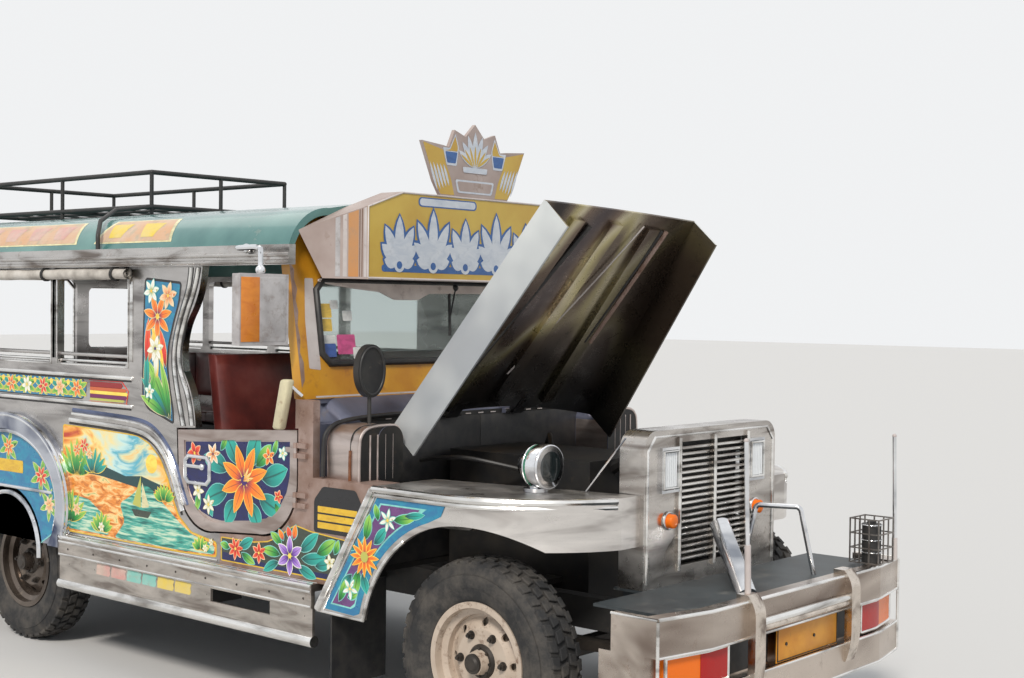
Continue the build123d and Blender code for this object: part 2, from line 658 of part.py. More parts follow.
with BuildPart() as windshield_glass:
    with BuildSketch(Plane.YZ.offset(SCREEN_X)) as pane:
        with Locations((0, (SCREEN_LOW + SCREEN_HIGH) / 2)):
            height = SCREEN_HIGH - SCREEN_LOW
            RectangleRounded(2 * (SCREEN_HALF - SEAM), height - 2 * SEAM, SCREEN_ROUND - SEAM)
    extrude(pane.sketch, amount=-4 * SCREEN_DEPTH)
    raked(SCREEN_X - (SCREEN_DEPTH - GLASS) / 2, GLASS)
save(windshield_glass, "windshield_glass")

# Cowl: round-cornered arch before the windscreen, firewall that closes it, side walls and shoulders
SHOULDER_FRONT_X = 1360.0
SHOULDER_IN = HOOD_REAR_HALF + 25.0
SHOULDER_TOP = 1190.0
CHEEK_LOW = 1000.0


def cowl_arch(x, top, inset):
    """Cowl cross section at x, open to the cab below, shrunk by inset."""
    half, high, low = COWL_HALF - inset, top - inset, CHEEK_LOW
    with BuildSketch(Plane.YZ.offset(x)) as arch:
        with BuildLine():
            corner = COWL_ROUND - inset
            FilletPolyline((-half, low), (-half, high), (half, high), (half, low), radius=corner)
            Line((half, low), (-half, low))
        make_face()
    return arch.sketch


with BuildPart() as cowl:
    rear_x = SCREEN_X - SCREEN_DEPTH
    for inset, over, mode in ((0, 0, Mode.ADD), (COWL_WALL, 1, Mode.SUBTRACT)):
        extrude(cowl_arch(rear_x - over, COWL_TOP, inset), amount=SCREEN_DEPTH + over, mode=mode)
    slope = [cowl_arch(SCREEN_X, COWL_TOP, 0), cowl_arch(COWL_X, COWL_FRONT_TOP, 0)]
    loft(slope, ruled=True)
    hollow = [cowl_arch(SCREEN_X, COWL_TOP, COWL_WALL), cowl_arch(COWL_X, COWL_FRONT_TOP, COWL_WALL)]
    loft(hollow, ruled=True, mode=Mode.SUBTRACT)
    extrude(cowl_arch(COWL_X, COWL_FRONT_TOP, COWL_WALL / 2), amount=-COWL_WALL)
    block((COWL_X - COWL_WALL, -SIDE_IN, RAIL_TOP), (COWL_X, SIDE_IN, LEDGE_Z))
    block((COWL_X - COWL_WALL, -COWL_HALF, LEDGE_Z), (COWL_X, COWL_HALF, CHEEK_LOW + 1))
    for side in (-1, 1):
        near, far = sorted((side * (COWL_HALF - COWL_ROUND), side * SIDE_IN))
        block((rear_x, near, COWL_TOP - COWL_WALL), (DOOR_FRONT_X + 15, far, COWL_TOP))
        near, far = sorted((side * (COWL_HALF - COWL_WALL / 2), side * SIDE_IN))
        block((DOOR_FRONT_X + 10, near, FENDER_TOP), (PILLAR_FRONT_X, far, SHOULDER_TOP))
        with BuildSketch(Plane.YZ.offset(COWL_X - COWL_WALL / 2)) as shoulder:
            near, far = sorted((side * SHOULDER_IN, side * COWL_HALF))
            with Locations(((near + far) / 2, (LEDGE_Z + SHOULDER_TOP) / 2)):
                RectangleRounded(far - near, SHOULDER_TOP - LEDGE_Z, 55)
        extrude(shoulder.sketch, amount=SHOULDER_FRONT_X - COWL_X + COWL_WALL / 2)
        strap_in = HOOD_STRAP_Y - HOOD_STRAP_WIDTH / 2
        strap_out = HOOD_STRAP_Y + HOOD_STRAP_WIDTH / 2
        lugs = [(strap_in - HOOD_LUG - 2, strap_in - 2), (strap_out + 2, strap_out + HOOD_LUG + 2)]
        for low, high in lugs:
            near, far = sorted((side * low, side * high))
            block((COWL_X, near, HOOD_Z - 10), (HOOD_X, far, HOOD_Z + 10))
            rod((HOOD_X, near, HOOD_Z), (HOOD_X, far, HOOD_Z), 10)
        near, far = sorted((side * (strap_in - HOOD_LUG / 2), side * (strap_out + HOOD_LUG / 2)))
        rod((HOOD_X, near, HOOD_Z), (HOOD_X, far, HOOD_Z), HINGE_PIN_R)
save(cowl, "cowl")

# Dashboard under the cowl top
with BuildPart() as dashboard:
    wide = COWL_HALF - COWL_WALL
    face = [(1095, 1235), (995, 1250), (945, 1225), (950, 1090), (1095, 1090)]
    side_plate(face, wide - 30, 2 * (wide - 30))
    block((950, -wide, 1090), (1095, wide, 1170))
save(dashboard, "dashboard")

# Steering wheel and column, on the left
WHEEL_RING_R = 200.0
with BuildPart() as steering_wheel:
    lean = Vector(sin(radians(50)), 0, -cos(radians(50)))
    middle = Vector(740, 380, 1230)
    ring_plane = Plane(origin=middle, x_dir=(0, 1, 0), z_dir=lean)
    rod(tuple(middle + lean * 5), tuple(middle + lean * 50), 34)
    rod(tuple(middle + lean * 40), tuple(middle + lean * 510), 21)
    for turn in (90, 210, 330):
        across = ring_plane.x_dir * cos(radians(turn)) + ring_plane.y_dir * sin(radians(turn))
        start, end = middle + lean * 30 + across * 20, middle + across * (WHEEL_RING_R - 2)
        rod(tuple(start), tuple(end), 7)
    with BuildSketch(Plane(origin=middle, x_dir=(0, 1, 0), z_dir=ring_plane.y_dir)) as ring:
        with Locations((WHEEL_RING_R, 0)):
            RegularPolygon(13, 10)
    revolve(ring.sketch, axis=Axis(middle, lean))
    block((1131, 340, 860), (COWL_X - COWL_WALL, 420, 950))
save(steering_wheel, "steering_wheel")

# Hood: a crowned, tapered and slightly twisted pan with flanges and ribs, standing open on its rear hinge
tilt = radians(HOOD_OPEN)
hood_x = Vector(cos(tilt), 0, sin(tilt))
hood_z = Vector(-sin(tilt), 0, cos(tilt))
hood_hinge = Vector(HOOD_X, 0, HOOD_Z)


def hood_plane(along):
    """Plane across the hood at a distance along it; the twist grows with the distance."""
    turn = -radians(HOOD_TWIST) * along / HOOD_LENGTH
    across = Vector(0, 1, 0) * cos(turn) + hood_z * sin(turn)
    return Plane(origin=hood_hinge + hood_x * along, x_dir=across, z_dir=hood_x)


def hood_end(along, half, crown):
    """Hood cross section at a distance along it from the hinge: (y, height) on its own plane."""
    sheet, edge = HOOD_SHEET, -crown
    with BuildSketch(hood_plane(along)) as end:
        with BuildLine():
            top = ThreePointArc((-half, edge), (0, 0), (half, edge))
            side = [top @ 1, (half, edge - HOOD_FLANGE), (half - sheet, edge - HOOD_FLANGE)]
            Polyline(*side, (half - sheet, edge - sheet))
            low = ThreePointArc((half - sheet, edge - sheet), (0, -sheet), (sheet - half, edge - sheet))
            side = [low @ 1, (sheet - half, edge - HOOD_FLANGE), (-half, edge - HOOD_FLANGE)]
            Polyline(*side, (-half, edge))
        make_face()
    return end.sketch


def rib_end(along, middle, height):
    """Cross section of a rib whose back lies at a height on the hood's own plane."""
    with BuildSketch(hood_plane(along)) as end:
        with Locations((middle, height - HOOD_SHEET / 2 - HOOD_RIB / 2)):
            Rectangle(HOOD_RIB_WIDTH, HOOD_RIB)
    return end.sketch


HOOD_RIB_PLACES = (-0.5, 0.0, 0.5)
with BuildPart() as hood:
    rear_end = hood_end(HOOD_REAR_GAP, HOOD_REAR_HALF, HOOD_REAR_CROWN)
    front_end = hood_end(HOOD_LENGTH, HOOD_FRONT_HALF, HOOD_FRONT_CROWN)
    loft([rear_end, front_end], ruled=True)
    for place in HOOD_RIB_PLACES:
        rear = rib_end(HOOD_REAR_GAP + 50, place * HOOD_REAR_HALF, -HOOD_REAR_CROWN * place**2)
        front = rib_end(HOOD_LENGTH - 60, place * HOOD_FRONT_HALF, -HOOD_FRONT_CROWN * place**2)
        loft([rear, front], ruled=True)
    for side in (-1, 1):
        strap_in, strap_out = HOOD_STRAP_Y - HOOD_STRAP_WIDTH / 2, HOOD_STRAP_Y + HOOD_STRAP_WIDTH / 2
        near, far = sorted((side * strap_in, side * strap_out))
        rod((HOOD_X, near, HOOD_Z), (HOOD_X, far, HOOD_Z), 10)
        with BuildSketch(Plane(origin=hood_hinge, x_dir=hood_x, z_dir=hood_z).offset(-20)) as strap:
            with Locations((40, side * HOOD_STRAP_Y)):
                Rectangle(80, HOOD_STRAP_WIDTH)
        extrude(strap.sketch, amount=28)
        near, far = sorted((side * (strap_in - 5), side * (strap_out + 5)))
        rod((HOOD_X, near, HOOD_Z), (HOOD_X, far, HOOD_Z), HINGE_PIN_R + RUN_CLEAR, Mode.SUBTRACT)
save(hood, "hood")


def fender_plan(inset):
    """Right fender seen from above: straight flank, rounded front, raked inner edge."""
    out, nose_x, nose_y = -(FENDER_OUT - inset), GRILLE_X - 18 - inset, -FENDER_OUT + 390
    bend_x, middle = FRONT_X - 100, (FRONT_X + 200, -FENDER_OUT + 100 + inset)
    rear_x, rear_in = FENDER_REAR_X + inset, -FENDER_OUT + 330 - inset
    with BuildLine() as outline:
        Line((rear_x, out), (bend_x, out))
        ThreePointArc((bend_x, out), middle, (nose_x, nose_y))
        Line((nose_x, nose_y), (nose_x, -GRILLE_HALF - inset))
        Line((nose_x, -GRILLE_HALF - inset), (rear_x, rear_in))
        Line((rear_x, rear_in), (rear_x, out))
    make_face(outline.edges())


# Front fenders: a flat-topped pan with a rounded nose, a round wheel arch and the flank behind it
with BuildPart() as fender_right:
    with BuildSketch(Plane.XY.offset(FENDER_TOP)) as top:
        fender_plan(0)
    extrude(top.sketch, amount=-FENDER_SKIRT)
    with BuildSketch(Plane.XY.offset(FENDER_TOP - FENDER_SHEET)) as under:
        fender_plan(FENDER_SHEET)
    extrude(under.sketch, amount=-FENDER_SKIRT, mode=Mode.SUBTRACT)
    flank = [(FENDER_REAR_X + 5, FENDER_TOP), (1180, 472), (1500, 472)]
    flank += [(1700, 800), (1700, FENDER_TOP)]
    side_plate(flank, FENDER_OUT, FENDER_OUT - BODY_HALF)
    with BuildSketch(Plane.XZ.offset(FENDER_OUT + 1)) as arch:
        with Locations((FRONT_X, HUB_Z)):
            Circle(ARCH_R)
    extrude(arch.sketch, amount=-(FENDER_OUT - GRILLE_HALF) - 2, mode=Mode.SUBTRACT)
save(fender_right, "fender_right")

with BuildPart() as fender_left:
    mirror(fender_right.part, about=Plane.XZ)
save(fender_left, "fender_left")

# Grille: a round-topped shell with a bank of thin louvre bars between two posts
LOUVRE_HALF = 232.0
LOUVRE_LOW = 705.0
LOUVRE_HIGH = 1165.0
LOUVRE_COUNT = 19
LAMP_Y = 298.0
LAMP_Z = 1068.0
LAMP_WIDTH = 100.0
LAMP_HEIGHT = 156.0
MARKER_Z = 880.0
MARKER_R = 26.0
with BuildPart() as grille_shell:
    inner_face = GRILLE_X - GRILLE_SHEET
    for inset, front, mode in ((0, GRILLE_X, Mode.ADD), (GRILLE_SHEET, inner_face, Mode.SUBTRACT)):
        half, high = GRILLE_HALF - inset, GRILLE_TOP - inset
        low = DECK_Z - (1 if inset else 0)
        with BuildSketch(Plane.YZ.offset(GRILLE_X - GRILLE_DEPTH - (1 if inset else 0))) as face:
            with BuildLine():
                FilletPolyline((-half, low), (-half, high), (half, high), (half, low), radius=70 - inset)
                Line((half, low), (-half, low))
            make_face()
        extrude(face.sketch, amount=front - (GRILLE_X - GRILLE_DEPTH) + (1 if inset else 0), mode=mode)
    low = (GRILLE_X - GRILLE_SHEET - 1, -LOUVRE_HALF, LOUVRE_LOW)
    block(low, (GRILLE_X + 1, LOUVRE_HALF, LOUVRE_HIGH), Mode.SUBTRACT)
    pitch = (LOUVRE_HIGH - LOUVRE_LOW) / (LOUVRE_COUNT + 1)
    for count in range(1, LOUVRE_COUNT + 1):
        z = LOUVRE_LOW + count * pitch
        low = (GRILLE_X - GRILLE_SHEET + 2, -LOUVRE_HALF - 1, z - 5)
        block(low, (GRILLE_X - 2, LOUVRE_HALF + 1, z + 5))
    for y in (-LOUVRE_HALF - 3, 0, LOUVRE_HALF + 3):
        block((GRILLE_X - 16, y - 5, LOUVRE_LOW - 20), (GRILLE_X + 8, y + 5, LOUVRE_HIGH + 20))
    for side in (-1, 1):
        low = (GRILLE_X - GRILLE_SHEET - 1, side * LAMP_Y - LAMP_WIDTH / 2, LAMP_Z - LAMP_HEIGHT / 2)
        high = (GRILLE_X + 1, side * LAMP_Y + LAMP_WIDTH / 2, LAMP_Z + LAMP_HEIGHT / 2)
        block(low, high, Mode.SUBTRACT)
save(grille_shell, "grille_shell")

# Radiator behind the grille, on the deck
with BuildPart() as radiator:
    core_x, tank_x = GRILLE_X - 108, GRILLE_X - 120
    block((core_x, -250, DECK_Z), (core_x + 50, 250, 1150))
    block((tank_x, -265, 1100), (tank_x + 76, 265, 1170))
    block((tank_x, -265, DECK_Z), (tank_x + 76, 265, DECK_Z + 60))
save(radiator, "radiator")

# Head lamps in the grille and bucket lamps on the fenders
BUCKET_X = 2020.0
BUCKET_Y = FENDER_OUT - 310.0
BUCKET_Z = FENDER_TOP + 96.0
BUCKET_R = 78.0
with BuildPart() as head_lamps:
    width, height = LAMP_WIDTH / 2 - SEAM, LAMP_HEIGHT / 2 - SEAM
    low = (GRILLE_X - 40, -LAMP_Y - width, LAMP_Z - height)
    block(low, (GRILLE_X + 4, -LAMP_Y + width, LAMP_Z + height))
    low = (GRILLE_X, -LAMP_Y - width - 6, LAMP_Z - height - 6)
    block(low, (GRILLE_X + 12, -LAMP_Y + width + 6, LAMP_Z + height + 6))
    low = (GRILLE_X + 5, -LAMP_Y - width + 4, LAMP_Z - height + 4)
    block(low, (GRILLE_X + 13, -LAMP_Y + width - 4, LAMP_Z + height - 4), Mode.SUBTRACT)
    bucket_plane = Plane(origin=(BUCKET_X, -BUCKET_Y, BUCKET_Z), x_dir=(1, 0, 0), z_dir=(0, -1, 0))
    with BuildSketch(bucket_plane) as bucket:
        with BuildLine():
            nose = Line((70, 0), (70, BUCKET_R))
            shell = ThreePointArc((70, BUCKET_R), (-35, BUCKET_R - 22), (-80, 0))
            Line((-80, 0), (70, 0))
        make_face()
    revolve(bucket.sketch, axis=Axis((BUCKET_X, -BUCKET_Y, BUCKET_Z), (1, 0, 0)))
    rod((BUCKET_X, -BUCKET_Y, FENDER_TOP), (BUCKET_X, -BUCKET_Y, BUCKET_Z - 40), 24)
    mirror(about=Plane.XZ)
save(head_lamps, "head_lamps")

# Deck between the grille and the bumper, on two ribs that stand on the rails
with BuildPart() as front_deck:
    low = (GRILLE_X - GRILLE_DEPTH - 20, -GRILLE_HALF, DECK_Z - DECK_SHEET)
    block(low, (BUMPER_X - 60, GRILLE_HALF, DECK_Z))
    with BuildSketch(Plane.XY.offset(DECK_Z - DECK_SHEET)) as apron:
        with BuildLine():
            edge = BUMPER_X - 60
            front_edge = [(edge - 32, -740), (edge, -600), (edge, 600), (edge - 32, 740)]
            Polyline((GRILLE_X, -740), *front_edge, (GRILLE_X, 740), close=True)
        make_face()
    extrude(apron.sketch, amount=DECK_SHEET)
    for side in (-1, 1):
        low = (GRILLE_X - GRILLE_DEPTH - 20, side * RAIL_Y - 15, RAIL_TOP)
        block(low, (RAIL_FRONT_X - 20, side * RAIL_Y + 15, DECK_Z - DECK_SHEET))
save(front_deck, "front_deck")


BUMPER_FLAT_HALF = 600.0
BUMPER_SWEEP = 50.0


def bumper_plan(front, depth):
    """Bumper from above: flat middle, ends swept back and short returns; front is its face."""
    flat, end, bend = BUMPER_FLAT_HALF, BUMPER_HALF, front - BUMPER_SWEEP
    with BuildLine() as outline:
        Polyline(
            (front, -flat), (front, flat), (bend, end), (front - 240, end),
            (front - 240, end - depth / 2), (bend - depth, end - depth / 2),
            (front - depth, flat), (front - depth, -flat), (bend - depth, depth / 2 - end),
            (front - 240, depth / 2 - end), (front - 240, -end), (bend, -end),
            close=True,
        )
    make_face(outline.edges())


# Front bumper: box beam above, sunk panel for lamps and plate, valance below
# Columns: bottom, top, face, depth
BUMPER_TIERS = [
    (BUMPER_MID_TOP, BUMPER_TOP, BUMPER_X, 60),
    (BUMPER_MID_LOW, BUMPER_MID_TOP, BUMPER_X - BUMPER_SUNK, 30),
    (BUMPER_LOW, BUMPER_MID_LOW, BUMPER_X, 80),
]
PLATE_BOLT_Y = 100.0
PLATE_BOLT_Z = 455.0
PLATE_BOLT_R = 4.0
with BuildPart() as front_bumper:
    for low, high, front, depth in BUMPER_TIERS:
        with BuildSketch(Plane.XY.offset(low)) as tier:
            bumper_plan(front, depth)
        extrude(tier.sketch, amount=high - low)
    for y in (-PLATE_BOLT_Y, PLATE_BOLT_Y):
        rod((BUMPER_X - 90, y, PLATE_BOLT_Z), (BUMPER_X - 40, y, PLATE_BOLT_Z), PLATE_BOLT_R, Mode.SUBTRACT)
save(front_bumper, "front_bumper")

# Overriders and the bar between them
OVERRIDER_Y = 345.0
OVERRIDER_FRONT = 30.0
OVERRIDER_CAP = 20.0
with BuildPart() as overriders:
    front, cap_z = BUMPER_X + OVERRIDER_FRONT, BUMPER_TOP + OVERRIDER_CAP
    for side in (-1, 1):
        with BuildSketch(Plane.XZ.offset(side * OVERRIDER_Y + 34)) as hook:
            with BuildLine():
                Line((BUMPER_X - 50, BUMPER_TOP), (BUMPER_X - 50, cap_z))
                Line((BUMPER_X - 50, cap_z), (BUMPER_X - 5, cap_z))
                TangentArc((front, BUMPER_TOP - 60), (BUMPER_X - 5, cap_z), tangent=(0, 1))
                Line((front, BUMPER_TOP - 60), (front, 440))
                TangentArc((front, 440), (BUMPER_X + 6, BUMPER_LOW + 50), tangent=(0, -1))
                Line((BUMPER_X + 6, BUMPER_LOW + 50), (BUMPER_X, BUMPER_LOW + 50))
                Line((BUMPER_X, BUMPER_LOW + 50), (BUMPER_X, BUMPER_TOP))
                Line((BUMPER_X, BUMPER_TOP), (BUMPER_X - 50, BUMPER_TOP))
            make_face()
        extrude(hook.sketch, amount=-68)
    bar_x, bar_z = BUMPER_X + 12, BUMPER_MID_TOP + 28
    rod((bar_x, -OVERRIDER_Y - 5, bar_z), (bar_x, OVERRIDER_Y + 5, bar_z), 12)
save(overriders, "overriders")

# Running boards: step plate, lip, apron with a foot hole and the tube along the bottom
with BuildPart() as running_boards:
    plate_in, plate_low = -BOARD_OUT + 265, BOARD_TOP - BOARD_PLATE
    section = [(plate_in, plate_low), (plate_in, BOARD_TOP), (-BOARD_OUT, BOARD_TOP)]
    section += [(-BOARD_OUT, BOARD_LIP_LOW), (-BOARD_OUT + 8, BOARD_LIP_LOW)]
    section += [(-BOARD_OUT + 8, BOARD_APRON_LOW)]
    section += [(-BOARD_OUT + 20, BOARD_APRON_LOW), (-BOARD_OUT + 20, plate_low)]
    cross_plate(section, BOARD_REAR_X, BOARD_FRONT_X - BOARD_REAR_X)
    tube_y, tube_z = -BOARD_OUT + 16, BOARD_APRON_LOW - BOARD_TUBE_R + 6
    rod((BOARD_REAR_X, tube_y, tube_z), (BOARD_FRONT_X, tube_y, tube_z), BOARD_TUBE_R)
    block((530, -BOARD_OUT - 1, 420), (910, -BOARD_OUT + 21, 474), Mode.SUBTRACT)
    mirror(about=Plane.XZ)
save(running_boards, "running_boards")

# Seat bases: the long benches that cover the rear wheels and two boxes in front
BENCH_IN = 500.0
BENCH_TOP = 960.0
BENCH_FRONT_X = 240.0
BENCH_SHEET = 18.0
SEAT_OUT = SIDE_IN - 95.0
SEAT_IN = 60.0
SEAT_TOP = 880.0
with BuildPart() as seat_bases:
    block((BODY_REAR_X + 60, -SIDE_IN, BENCH_TOP - BENCH_SHEET), (BENCH_FRONT_X, -BENCH_IN, BENCH_TOP))
    block((BODY_REAR_X + 60, -BENCH_IN - BENCH_SHEET, FLOOR_TOP), (BENCH_FRONT_X, -BENCH_IN, BENCH_TOP))
    for x in (BODY_REAR_X + 60, BENCH_FRONT_X - BENCH_SHEET):
        block((x, -SIDE_IN, FLOOR_TOP), (x + BENCH_SHEET, -BENCH_IN, BENCH_TOP))
    block((330, -SEAT_OUT, FLOOR_TOP), (760, -SEAT_IN, SEAT_TOP))
    mirror(about=Plane.XZ)
save(seat_bases, "seat_bases")

# Cushions on the bases
with BuildPart() as cushions:
    block((BODY_REAR_X + 70, -SIDE_IN + 5, BENCH_TOP), (BENCH_FRONT_X - 10, -BENCH_IN - 5, BENCH_TOP + 80))
    low = (BODY_REAR_X + 70, -SIDE_IN, BENCH_TOP + 130)
    block(low, (BENCH_FRONT_X - 10, -SIDE_IN + 60, WINDOW_SILL_Z - 20))
    block((335, -SEAT_OUT + 5, SEAT_TOP), (755, -SEAT_IN - 5, SEAT_TOP + 100))
    back = [(335, SEAT_TOP + 100), (425, SEAT_TOP + 100), (355, 1440), (285, 1440)]
    side_plate(back, SEAT_OUT - 5, SEAT_OUT - SEAT_IN - 10)
    mirror(about=Plane.XZ)
save(cushions, "cushions")

# Rear end wall with its doorway and two small windows
PORTAL_HALF = 390.0
PORTAL_TOP = 1800.0
with BuildPart() as rear_portal:
    with BuildSketch(Plane.YZ.offset(BODY_REAR_X)) as wall:
        roof_section(ROOF_WALL + SEAM, SIDE_TOP)
        with Locations((0, (FLOOR_TOP + SIDE_TOP) / 2)):
            Rectangle(2 * SIDE_IN, SIDE_TOP - FLOOR_TOP)
        with Locations((0, (FLOOR_TOP + PORTAL_TOP) / 2 - 10)):
            RectangleRounded(2 * PORTAL_HALF, PORTAL_TOP - FLOOR_TOP + 20, 60, mode=Mode.SUBTRACT)
        with Locations((0, FLOOR_TOP + 40)):
            Rectangle(2 * PORTAL_HALF, 100, mode=Mode.SUBTRACT)
        panel = SIDE_IN - PORTAL_HALF
        for side in (-1, 1):
            with Locations((side * (PORTAL_HALF + panel / 2), 1560)):
                RectangleRounded(panel - 165, 380, 40, mode=Mode.SUBTRACT)
    extrude(wall.sketch, amount=WALL)
save(rear_portal, "rear_portal")

# Rear step: tread plate under the rail ends and a round bumper tube
REAR_TUBE_R = 30.0
TOW_X = BODY_REAR_X - 100.0
TOW_R = 15.0
with BuildPart() as rear_step:
    block((TOW_X - 85, -480, RAIL_BOTTOM - 20), (BODY_REAR_X, 480, RAIL_BOTTOM))
    tube_x = TOW_X - 70
    rod((tube_x, -800, RAIL_BOTTOM), (tube_x, 800, RAIL_BOTTOM), REAR_TUBE_R)
    low, high = (TOW_X, 0, RAIL_BOTTOM - 21), (TOW_X, 0, RAIL_BOTTOM + 1)
    rod(low, high, TOW_R, Mode.SUBTRACT)
save(rear_step, "rear_step")

# Signal lamps: bumper pair, round grille markers and tail pair
LENS_IN = 480.0
LENS_OUT = 790.0
LENS_DEPTH = 32.0
with BuildPart() as signal_lamps:
    with BuildSketch(Plane.XY.offset(402)) as lens:
        with BuildLine():
            back = BUMPER_X - BUMPER_SUNK + SEAM
            run = (LENS_OUT - BUMPER_FLAT_HALF) / (BUMPER_HALF - BUMPER_FLAT_HALF)
            end = back - BUMPER_SWEEP * run
            bend = [(back, -LENS_IN), (back + LENS_DEPTH, -LENS_IN)]
            bend += [(back + LENS_DEPTH, -BUMPER_FLAT_HALF), (end + LENS_DEPTH, -LENS_OUT)]
            bend += [(end, -LENS_OUT), (back, -BUMPER_FLAT_HALF)]
            Polyline(*bend, close=True)
        make_face()
    extrude(lens.sketch, amount=110)
    rod((GRILLE_X, -LAMP_Y, MARKER_Z), (GRILLE_X + 28, -LAMP_Y, MARKER_Z), MARKER_R)
    block((BODY_REAR_X - 28, -BODY_HALF + 110, 820), (BODY_REAR_X, -BODY_HALF + 310, 940))
    mirror(about=Plane.XZ)
save(signal_lamps, "signal_lamps")

# Roof sign: a box that grows forward from the roof's edge, with raked wings cut back at the foot
SIGN_REAR_HALF = ROOF_HALF - 50.0
SIGN_FLAT_HALF = 450.0
with BuildPart() as sign_board:
    with BuildSketch(Plane.XY.offset(SIGN_LOW)) as plan:
        with BuildLine():
            rear = [(ROOF_FRONT_X, -SIGN_REAR_HALF), (ROOF_FRONT_X, SIGN_REAR_HALF)]
            Polyline(*rear, (SIGN_X, SIGN_HALF), (SIGN_X, -SIGN_HALF), close=True)
        make_face()
    extrude(plan.sketch, amount=SIGN_TOP - SIGN_LOW)
    for side in (-1, 1):
        slope = [(side * SIGN_FLAT_HALF, SIGN_TOP + 1), (side * SIGN_FLAT_HALF, SIGN_TOP)]
        slope += [(side * SIGN_HALF, SIGN_SHOULDER), (side * (SIGN_REAR_HALF + 1), SIGN_SHOULDER - 105)]
        slope += [(side * (SIGN_REAR_HALF + 1), SIGN_TOP + 1)]
        cross_plate(slope, ROOF_FRONT_X - 1, SIGN_X - ROOF_FRONT_X + 2, Mode.SUBTRACT)
    foot = [(ROOF_FRONT_X - 1, SIGN_LOW - 1), (ROOF_FRONT_X + 45, SIGN_LOW - 1)]
    foot += [(ROOF_FRONT_X - 1, SIGN_LOW + 190)]
    side_plate(foot, SIGN_REAR_HALF + 1, 2 * SIGN_REAR_HALF + 2, Mode.SUBTRACT)
save(sign_board, "sign_board")

# Crest: a flat cut-out that stands on the sign
# Columns: across, above the sign
CREST_HALF = [(0, 320), (60, 262), (130, 286), (165, 210), (205, 215), (330, 225), (255, 60), (215, 0)]
with BuildPart() as crest:
    outline = [(y, SIGN_TOP + z) for y, z in CREST_HALF + [(0, 0)]]
    cross_plate(outline, SIGN_X - 30, 18)
    mirror(about=Plane.XZ)
save(crest, "crest")

# Roof rack: two tube rings with posts, slats, feet and the straps down to the gutters
with BuildPart() as roof_rack:
    rear_x = RACK_FRONT_X - RACK_BAYS * RACK_BAY
    for z in (RACK_LOW_Z, RACK_HIGH_Z):
        for side in (-1, 1):
            rod((RACK_FRONT_X, side * RACK_HALF, z), (rear_x, side * RACK_HALF, z), RACK_TUBE_R)
        for x in (RACK_FRONT_X, rear_x):
            rod((x, -RACK_HALF, z), (x, RACK_HALF, z), RACK_TUBE_R)
            for side in (-1, 1):
                with Locations((x, side * RACK_HALF, z)):
                    Sphere(RACK_TUBE_R)
    crown = ROOF_CROWN_Z - ROOF_SHOULDER_Z
    crown_r = (ROOF_SHOULDER_Y**2 + crown**2) / (2 * crown)
    for bay in range(RACK_BAYS + 1):
        x = RACK_FRONT_X - bay * RACK_BAY
        for y in (-RACK_HALF, 0, RACK_HALF):
            roof_z = ROOF_CROWN_Z - crown_r + sqrt(crown_r**2 - y**2) + SEAM
            top = RACK_HIGH_Z if y or bay in (0, RACK_BAYS) else RACK_LOW_Z
            rod((x, y, roof_z + 3), (x, y, top), RACK_TUBE_R - 2)
        rod((x, -RACK_HALF, RACK_LOW_Z), (x, RACK_HALF, RACK_LOW_Z), RACK_TUBE_R - 2)
    for y in (-212, 0, 212):
        rod((RACK_FRONT_X, y, RACK_LOW_Z), (rear_x, y, RACK_LOW_Z), 8)
    for x, reach in ((RACK_FRONT_X, 360), (rear_x, -200)):
        for side in (-1, 1):
            strap_y = ROOF_HALF + 16
            route = [(x, side * RACK_HALF, RACK_LOW_Z)]
            route += [(x + 0.4 * reach, side * (ROOF_SHOULDER_Y - 10), 2092)]
            route += [(x + 0.8 * reach, side * (ROOF_HALF - 45), 2028), (x + reach, side * strap_y, 1960)]
            route += [(x + reach, side * strap_y, ROOF_GUTTER_Z)]
            bent(route, 25, 10)
save(roof_rack, "roof_rack")

# Mirrors: two big ones on arms from the gutters, ovals on the cowl shoulders
MIRROR_Y = GUTTER_OUT + 118.0
OVAL_X = 1237.0
OVAL_Y = (SHOULDER_IN + COWL_HALF) / 2
with BuildPart() as mirrors:
    block((990, -MIRROR_Y - 120, 1500), (1036, -MIRROR_Y + 120, 1775))
    arm = [(800, -GUTTER_OUT, 1880), (800, -MIRROR_Y + 50, 1880)]
    arm += [(1010, -MIRROR_Y, 1880), (1010, -MIRROR_Y, 1770)]
    bent(arm, 25, 9)
    rod((OVAL_X, -OVAL_Y, SHOULDER_TOP), (OVAL_X, -OVAL_Y, 1310), 8)
    with BuildSketch(Plane.YZ.offset(OVAL_X - 15)) as oval:
        with Locations((-OVAL_Y, 1400)):
            Ellipse(75, 105)
    extrude(oval.sketch, amount=30)
    mirror(about=Plane.XZ)
save(mirrors, "mirrors")

# Nose guard: whip poles on the bumper, bent bar and leaning pipe on the deck
with BuildPart() as nose_guard:
    pole_z = BUMPER_TOP + OVERRIDER_CAP + SEAM
    rod((BUMPER_X - 25, -OVERRIDER_Y, pole_z), (BUMPER_X - 25, -OVERRIDER_Y - 25, 1205), 8)
    rod((BUMPER_X - 30, 780, BUMPER_TOP + SEAM), (BUMPER_X - 30, 760, 1155), 8)
    near_x, far_x = GRILLE_X + 20, BUMPER_X - 130
    hoop = [(near_x, 180, DECK_Z), (near_x + 50, 200, 900), (far_x - 40, 260, 900), (far_x, 300, DECK_Z)]
    bent(hoop, 20, 10)
    rod((far_x + 10, -200, DECK_Z - 10), (near_x + 50, -60, 850), 38)
    block((GRILLE_X, -500, DECK_Z - 80), (BUMPER_X - 61, 500, DECK_Z), Mode.SUBTRACT)
save(nose_guard, "nose_guard")

